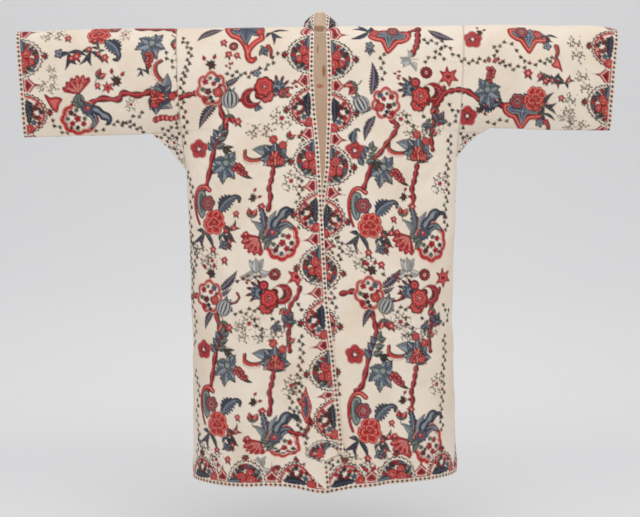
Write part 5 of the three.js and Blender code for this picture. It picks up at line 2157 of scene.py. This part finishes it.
def printed_cotton(name, clouds, foxing, dye_loss, glaze):
    material, tree, shader, flat = start_material(name)
    dyes = attribute(tree, "print")["Color"]
    edges = tree.nodes.new("ShaderNodeSeparateColor")
    tree.links.new(attribute(tree, "edges")["Color"], edges.inputs[0])
    place_on_cloth = tree.nodes.new("ShaderNodeSeparateXYZ")
    tree.links.new(flat, place_on_cloth.inputs[0])
    aged = place(tree, AGEING, Color=dyes, Bare=BARE_COTTON, Vector=flat, Clouds=clouds,
                 Foxing=foxing, Dye_Loss=dye_loss)
    seam = place(tree, STITCH, Edge_Distance=edges.outputs["Red"],
                 Along=place_on_cloth.outputs["Y"], Inset=0.0022, Pitch=0.0034)
    hem = place(tree, STITCH, Edge_Distance=edges.outputs["Green"],
                Along=place_on_cloth.outputs["X"], Inset=0.0092, Pitch=0.0042)
    sewn = sum_of(tree, "MAXIMUM", seam["Stitch"], hem["Stitch"])
    coloured = tint(tree, sum_of(tree, "MULTIPLY", sewn, 0.7), aged["Color"], THREAD)
    put(tree, shader["Base Color"], coloured)
    weave = place(tree, WEAVE, Vector=flat, Threads=1500, Slubs=0.6)
    rough = sum_of(tree, "MULTIPLY_ADD", aged["Clouds"], 0.12, 0.70)
    put(tree, shader["Roughness"], rough)
    polished = ramp(tree, cloudy(tree, flat, 9, 3), 0.42, 0.68)
    put(tree, shader["Coat Weight"], sum_of(tree, "MULTIPLY", polished, glaze))
    shader["Coat Roughness"].default_value = 0.42
    shader["Sheen Weight"].default_value = 0.12
    shader["Sheen Roughness"].default_value = 0.5
    shader["Specular IOR Level"].default_value = 0.3
    crumples = bumped(tree, cloudy(tree, flat, 26, 3), 0.0045, 0.6)
    threads = bumped(tree, weave["Height"], 0.00012, 0.8, crumples)
    sewing = sum_of(tree, "ADD", seam["Height"], hem["Height"])
    put(tree, shader["Normal"], bumped(tree, sewing, 0.0006, 0.8, threads))
    return material


BLOTS = (  # centre, size and tone
    ((0.000, 0.05, -0.148), (0.011, 0.1, 0.008), (0.70, 0.28, 0.22, 1)),
    ((0.011, 0.05, -0.106), (0.006, 0.1, 0.020), (0.50, 0.26, 0.10, 1)),
    ((-0.002, 0.04, 0.004), (0.022, 0.1, 0.012), (0.34, 0.20, 0.12, 1)),
    ((-0.006, 0.05, -0.050), (0.003, 0.1, 0.014), (0.46, 0.38, 0.28, 1)),
)


def unbleached_cotton():
    material, tree, shader, flat = start_material("lining_cotton")
    here = tree.nodes.new("ShaderNodeTexCoord").outputs["Object"]
    aged = place(tree, AGEING, Color=UNBLEACHED, Bare=BARE_COTTON, Vector=flat, Clouds=0.3,
                 Foxing=0.7, Dye_Loss=0.0)
    colour = aged["Color"]
    for centre, size, tone in BLOTS:
        mask = place(tree, BLOT, Vector=here, Centre=centre, Size=size)["Mask"]
        colour = tint(tree, sum_of(tree, "MULTIPLY", mask, 0.75), colour, tone, "MULTIPLY")
    put(tree, shader["Base Color"], colour)
    # Painted light: a faint glow in the cloth's own colour lifts the insides out of their shade.
    put(tree, shader["Emission Color"], colour)
    shader["Emission Strength"].default_value = 0.22
    weave = place(tree, WEAVE, Vector=flat, Threads=1100, Slubs=1.0)
    put(tree, shader["Roughness"], sum_of(tree, "MULTIPLY_ADD", aged["Clouds"], 0.08, 0.84))
    shader["Sheen Weight"].default_value = 0.2
    shader["Specular IOR Level"].default_value = 0.2
    crumples = bumped(tree, cloudy(tree, flat, 30, 3), 0.004, 0.6)
    put(tree, shader["Normal"], bumped(tree, weave["Height"], 0.0002, 1.0, crumples))
    return material


# %% Dress the pieces
def measure_edges(name):
    """Distances in metres to the seams (red) and to the hem or cuff (green), on each point."""
    cut = cuts[name]
    q = cut["q"]
    rows = lengths(cut["grid"])
    seam = np.minimum(rows, rows[:, -1:] - rows)
    if name.startswith("front"):
        seam = rows if name == "front_right_cloth" else rows[:, -1:] - rows
    hem = q.max(axis=0) - q
    if name.startswith("sleeve"):
        hem = cut["to_cuff"]
        seam = np.abs(rows if name == "sleeve_left_cloth" else rows[:, -1:] - rows)
    if name.startswith(("gusset", "neckband")):
        hem = np.minimum(q, q.max(axis=0) - q)
    none, full = np.zeros_like(hem), np.full_like(hem, 1000)
    set_colours(name, "edges", np.stack([seam, hem, none, full], axis=-1) * MM)


printed = printed_cotton("printed_cotton", clouds=0.34, foxing=0.22, dye_loss=0.5, glaze=0.16)
band_cotton = printed_cotton("border_cotton", clouds=0.5, foxing=0.4, dye_loss=0.8, glaze=0.05)
lining_cotton = unbleached_cotton()
for name, piece in pieces.items():
    if name == LINING:
        outside = lining_cotton
    else:
        outside = band_cotton if name == "neckband_cloth" else printed
        measure_edges(name)
    piece.data.materials.append(outside)
    piece.data.materials.append(lining_cotton)
    print(name, "wears", outside.name)

# %% [markdown]
# ## Stage, light and camera
# The gown hangs before a pale seamless sheet of paper that turns from floor to wall. One wide
# soft light stands above and before it, and two weaker ones fill the sides, so that the
# shoulders and sleeve tops are brightest and the underarms and hem fall off a little.

# %% The paper backdrop
CAMERA_DISTANCE = 2.45
CAMERA_HEIGHT = -0.626
FLOOR = -1.46
PAPER_TURN = 0.7  # radius of the sweep from floor to wall
WALL_AT = 2.1


def backdrop():
    """A straight floor, a quarter circle and a straight wall, carried along X."""
    turn = np.linspace(0, np.pi / 2, 24)
    y = np.concatenate([[-5.0], WALL_AT - PAPER_TURN + PAPER_TURN * np.sin(turn), [WALL_AT]])
    z = np.concatenate([[FLOOR], FLOOR + PAPER_TURN * (1 - np.cos(turn)), [4.0]])
    x = np.linspace(-6, 6, 3)
    points = np.stack(np.broadcast_arrays(x[None, :], y[:, None], z[:, None]), axis=-1)
    rows, columns = points.shape[:2]
    index = np.arange(rows * columns).reshape(rows, columns)
    faces = np.stack([index[:-1, :-1], index[:-1, 1:], index[1:, 1:], index[1:, :-1]], axis=-1)
    mesh = bpy.data.meshes.new("paper_backdrop")
    mesh.from_pydata(points.reshape(-1, 3).tolist(), [], faces.reshape(-1, 4).tolist())
    mesh.polygons.foreach_set("use_smooth", np.ones(len(mesh.polygons), bool))
    paper = bpy.data.objects.new("paper_backdrop", mesh)
    bpy.context.scene.collection.objects.link(paper)
    return paper


paper = backdrop()
paper_material = bpy.data.materials.new("pale_paper")
paper_material.use_nodes = True
paper_tree = paper_material.node_tree
shader = paper_tree.nodes["Principled BSDF"]
height = paper_tree.nodes.new("ShaderNodeSeparateXYZ")
put(paper_tree, height.inputs[0], paper_tree.nodes.new("ShaderNodeTexCoord").outputs["Object"])
# Painted light and shade: the paper is lighter near the floor and darker higher up.
tone = tint(paper_tree, ramp(paper_tree, height.outputs["Z"], -1.5, 0.3),
            (0.90, 0.905, 0.915, 1), (0.76, 0.765, 0.775, 1))
put(paper_tree, shader.inputs["Base Color"], tone)
shader.inputs["Roughness"].default_value = 0.9
paper.data.materials.append(paper_material)
see_through = paper_tree.nodes.new("ShaderNodeMixShader")
behind = paper_tree.nodes.new("ShaderNodeNewGeometry").outputs["Backfacing"]
clear = paper_tree.nodes.new("ShaderNodeBsdfTransparent").outputs[0]
for socket, value in zip(see_through.inputs, (behind, shader.outputs[0], clear)):
    put(paper_tree, socket, value)
put(paper_tree, paper_tree.nodes["Material Output"].inputs["Surface"], see_through.outputs[0])

# %% Lights and camera
LIGHTS = (
    dict(name="high_soft", place=(0.2, -1.7, 2.6), size=2.6, watts=60),
    dict(name="left_fill", place=(-3.0, -3.2, 0.2), size=2.4, watts=18.5),
    dict(name="right_fill", place=(3.0, -3.4, -0.2), size=2.4, watts=16.5),
)
AIM = np.array([0, 0, -0.6])


def aim(thing, place, at):
    """Turns a light or camera so that its -Z axis points from place to at, with Z up."""
    direction = Vector(np.asarray(at, float) - np.asarray(place, float))
    thing.location = place
    thing.rotation_euler = direction.to_track_quat("-Z", "Y").to_euler()


for light in LIGHTS:
    data = bpy.data.lights.new(light["name"], "AREA")
    data.size = light["size"]
    data.energy = light["watts"]
    lamp = bpy.data.objects.new(light["name"], data)
    bpy.context.scene.collection.objects.link(lamp)
    aim(lamp, light["place"], AIM)

world = bpy.data.worlds.new("soft_room")
world.use_nodes = True
world.node_tree.nodes["Background"].inputs["Color"].default_value = (1, 1, 1, 1)
world.node_tree.nodes["Background"].inputs["Strength"].default_value = 0.56
bpy.context.scene.world = world
bpy.context.scene.view_settings.view_transform = "Standard"

camera_data = bpy.data.cameras.new("camera")
camera_data.sensor_width = 36
camera_data.lens = 50.85
camera = bpy.data.objects.new("camera", camera_data)
bpy.context.scene.collection.objects.link(camera)
aim(camera, (0, -CAMERA_DISTANCE, CAMERA_HEIGHT), (0, 0, CAMERA_HEIGHT))
bpy.context.scene.camera = camera
print("camera", CAMERA_DISTANCE, "m before the gown, lights", len(LIGHTS))

# %% [markdown]
# ## Handing over to the frame
# Every piece rides on the one body, and the solid that it stands for is hidden. Half the area
# of its closed sheet, which is the area of its cloth, is measured.


def surface_area(piece):
    """Half of the closed sheet's area, which is the area of its cloth, in square metres."""
    areas = np.empty(len(piece.data.polygons))
    piece.data.polygons.foreach_get("area", areas)
    return float(areas.sum() / 2)


for name, cut in {**cuts, LINING: lining}.items():
    piece, kind = pieces[name], name.split("_")[0]
    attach(piece, "root")
    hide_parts("collar" if kind == "neckband" else name.rsplit("_", 1)[0])
    cloth = surface_area(piece)
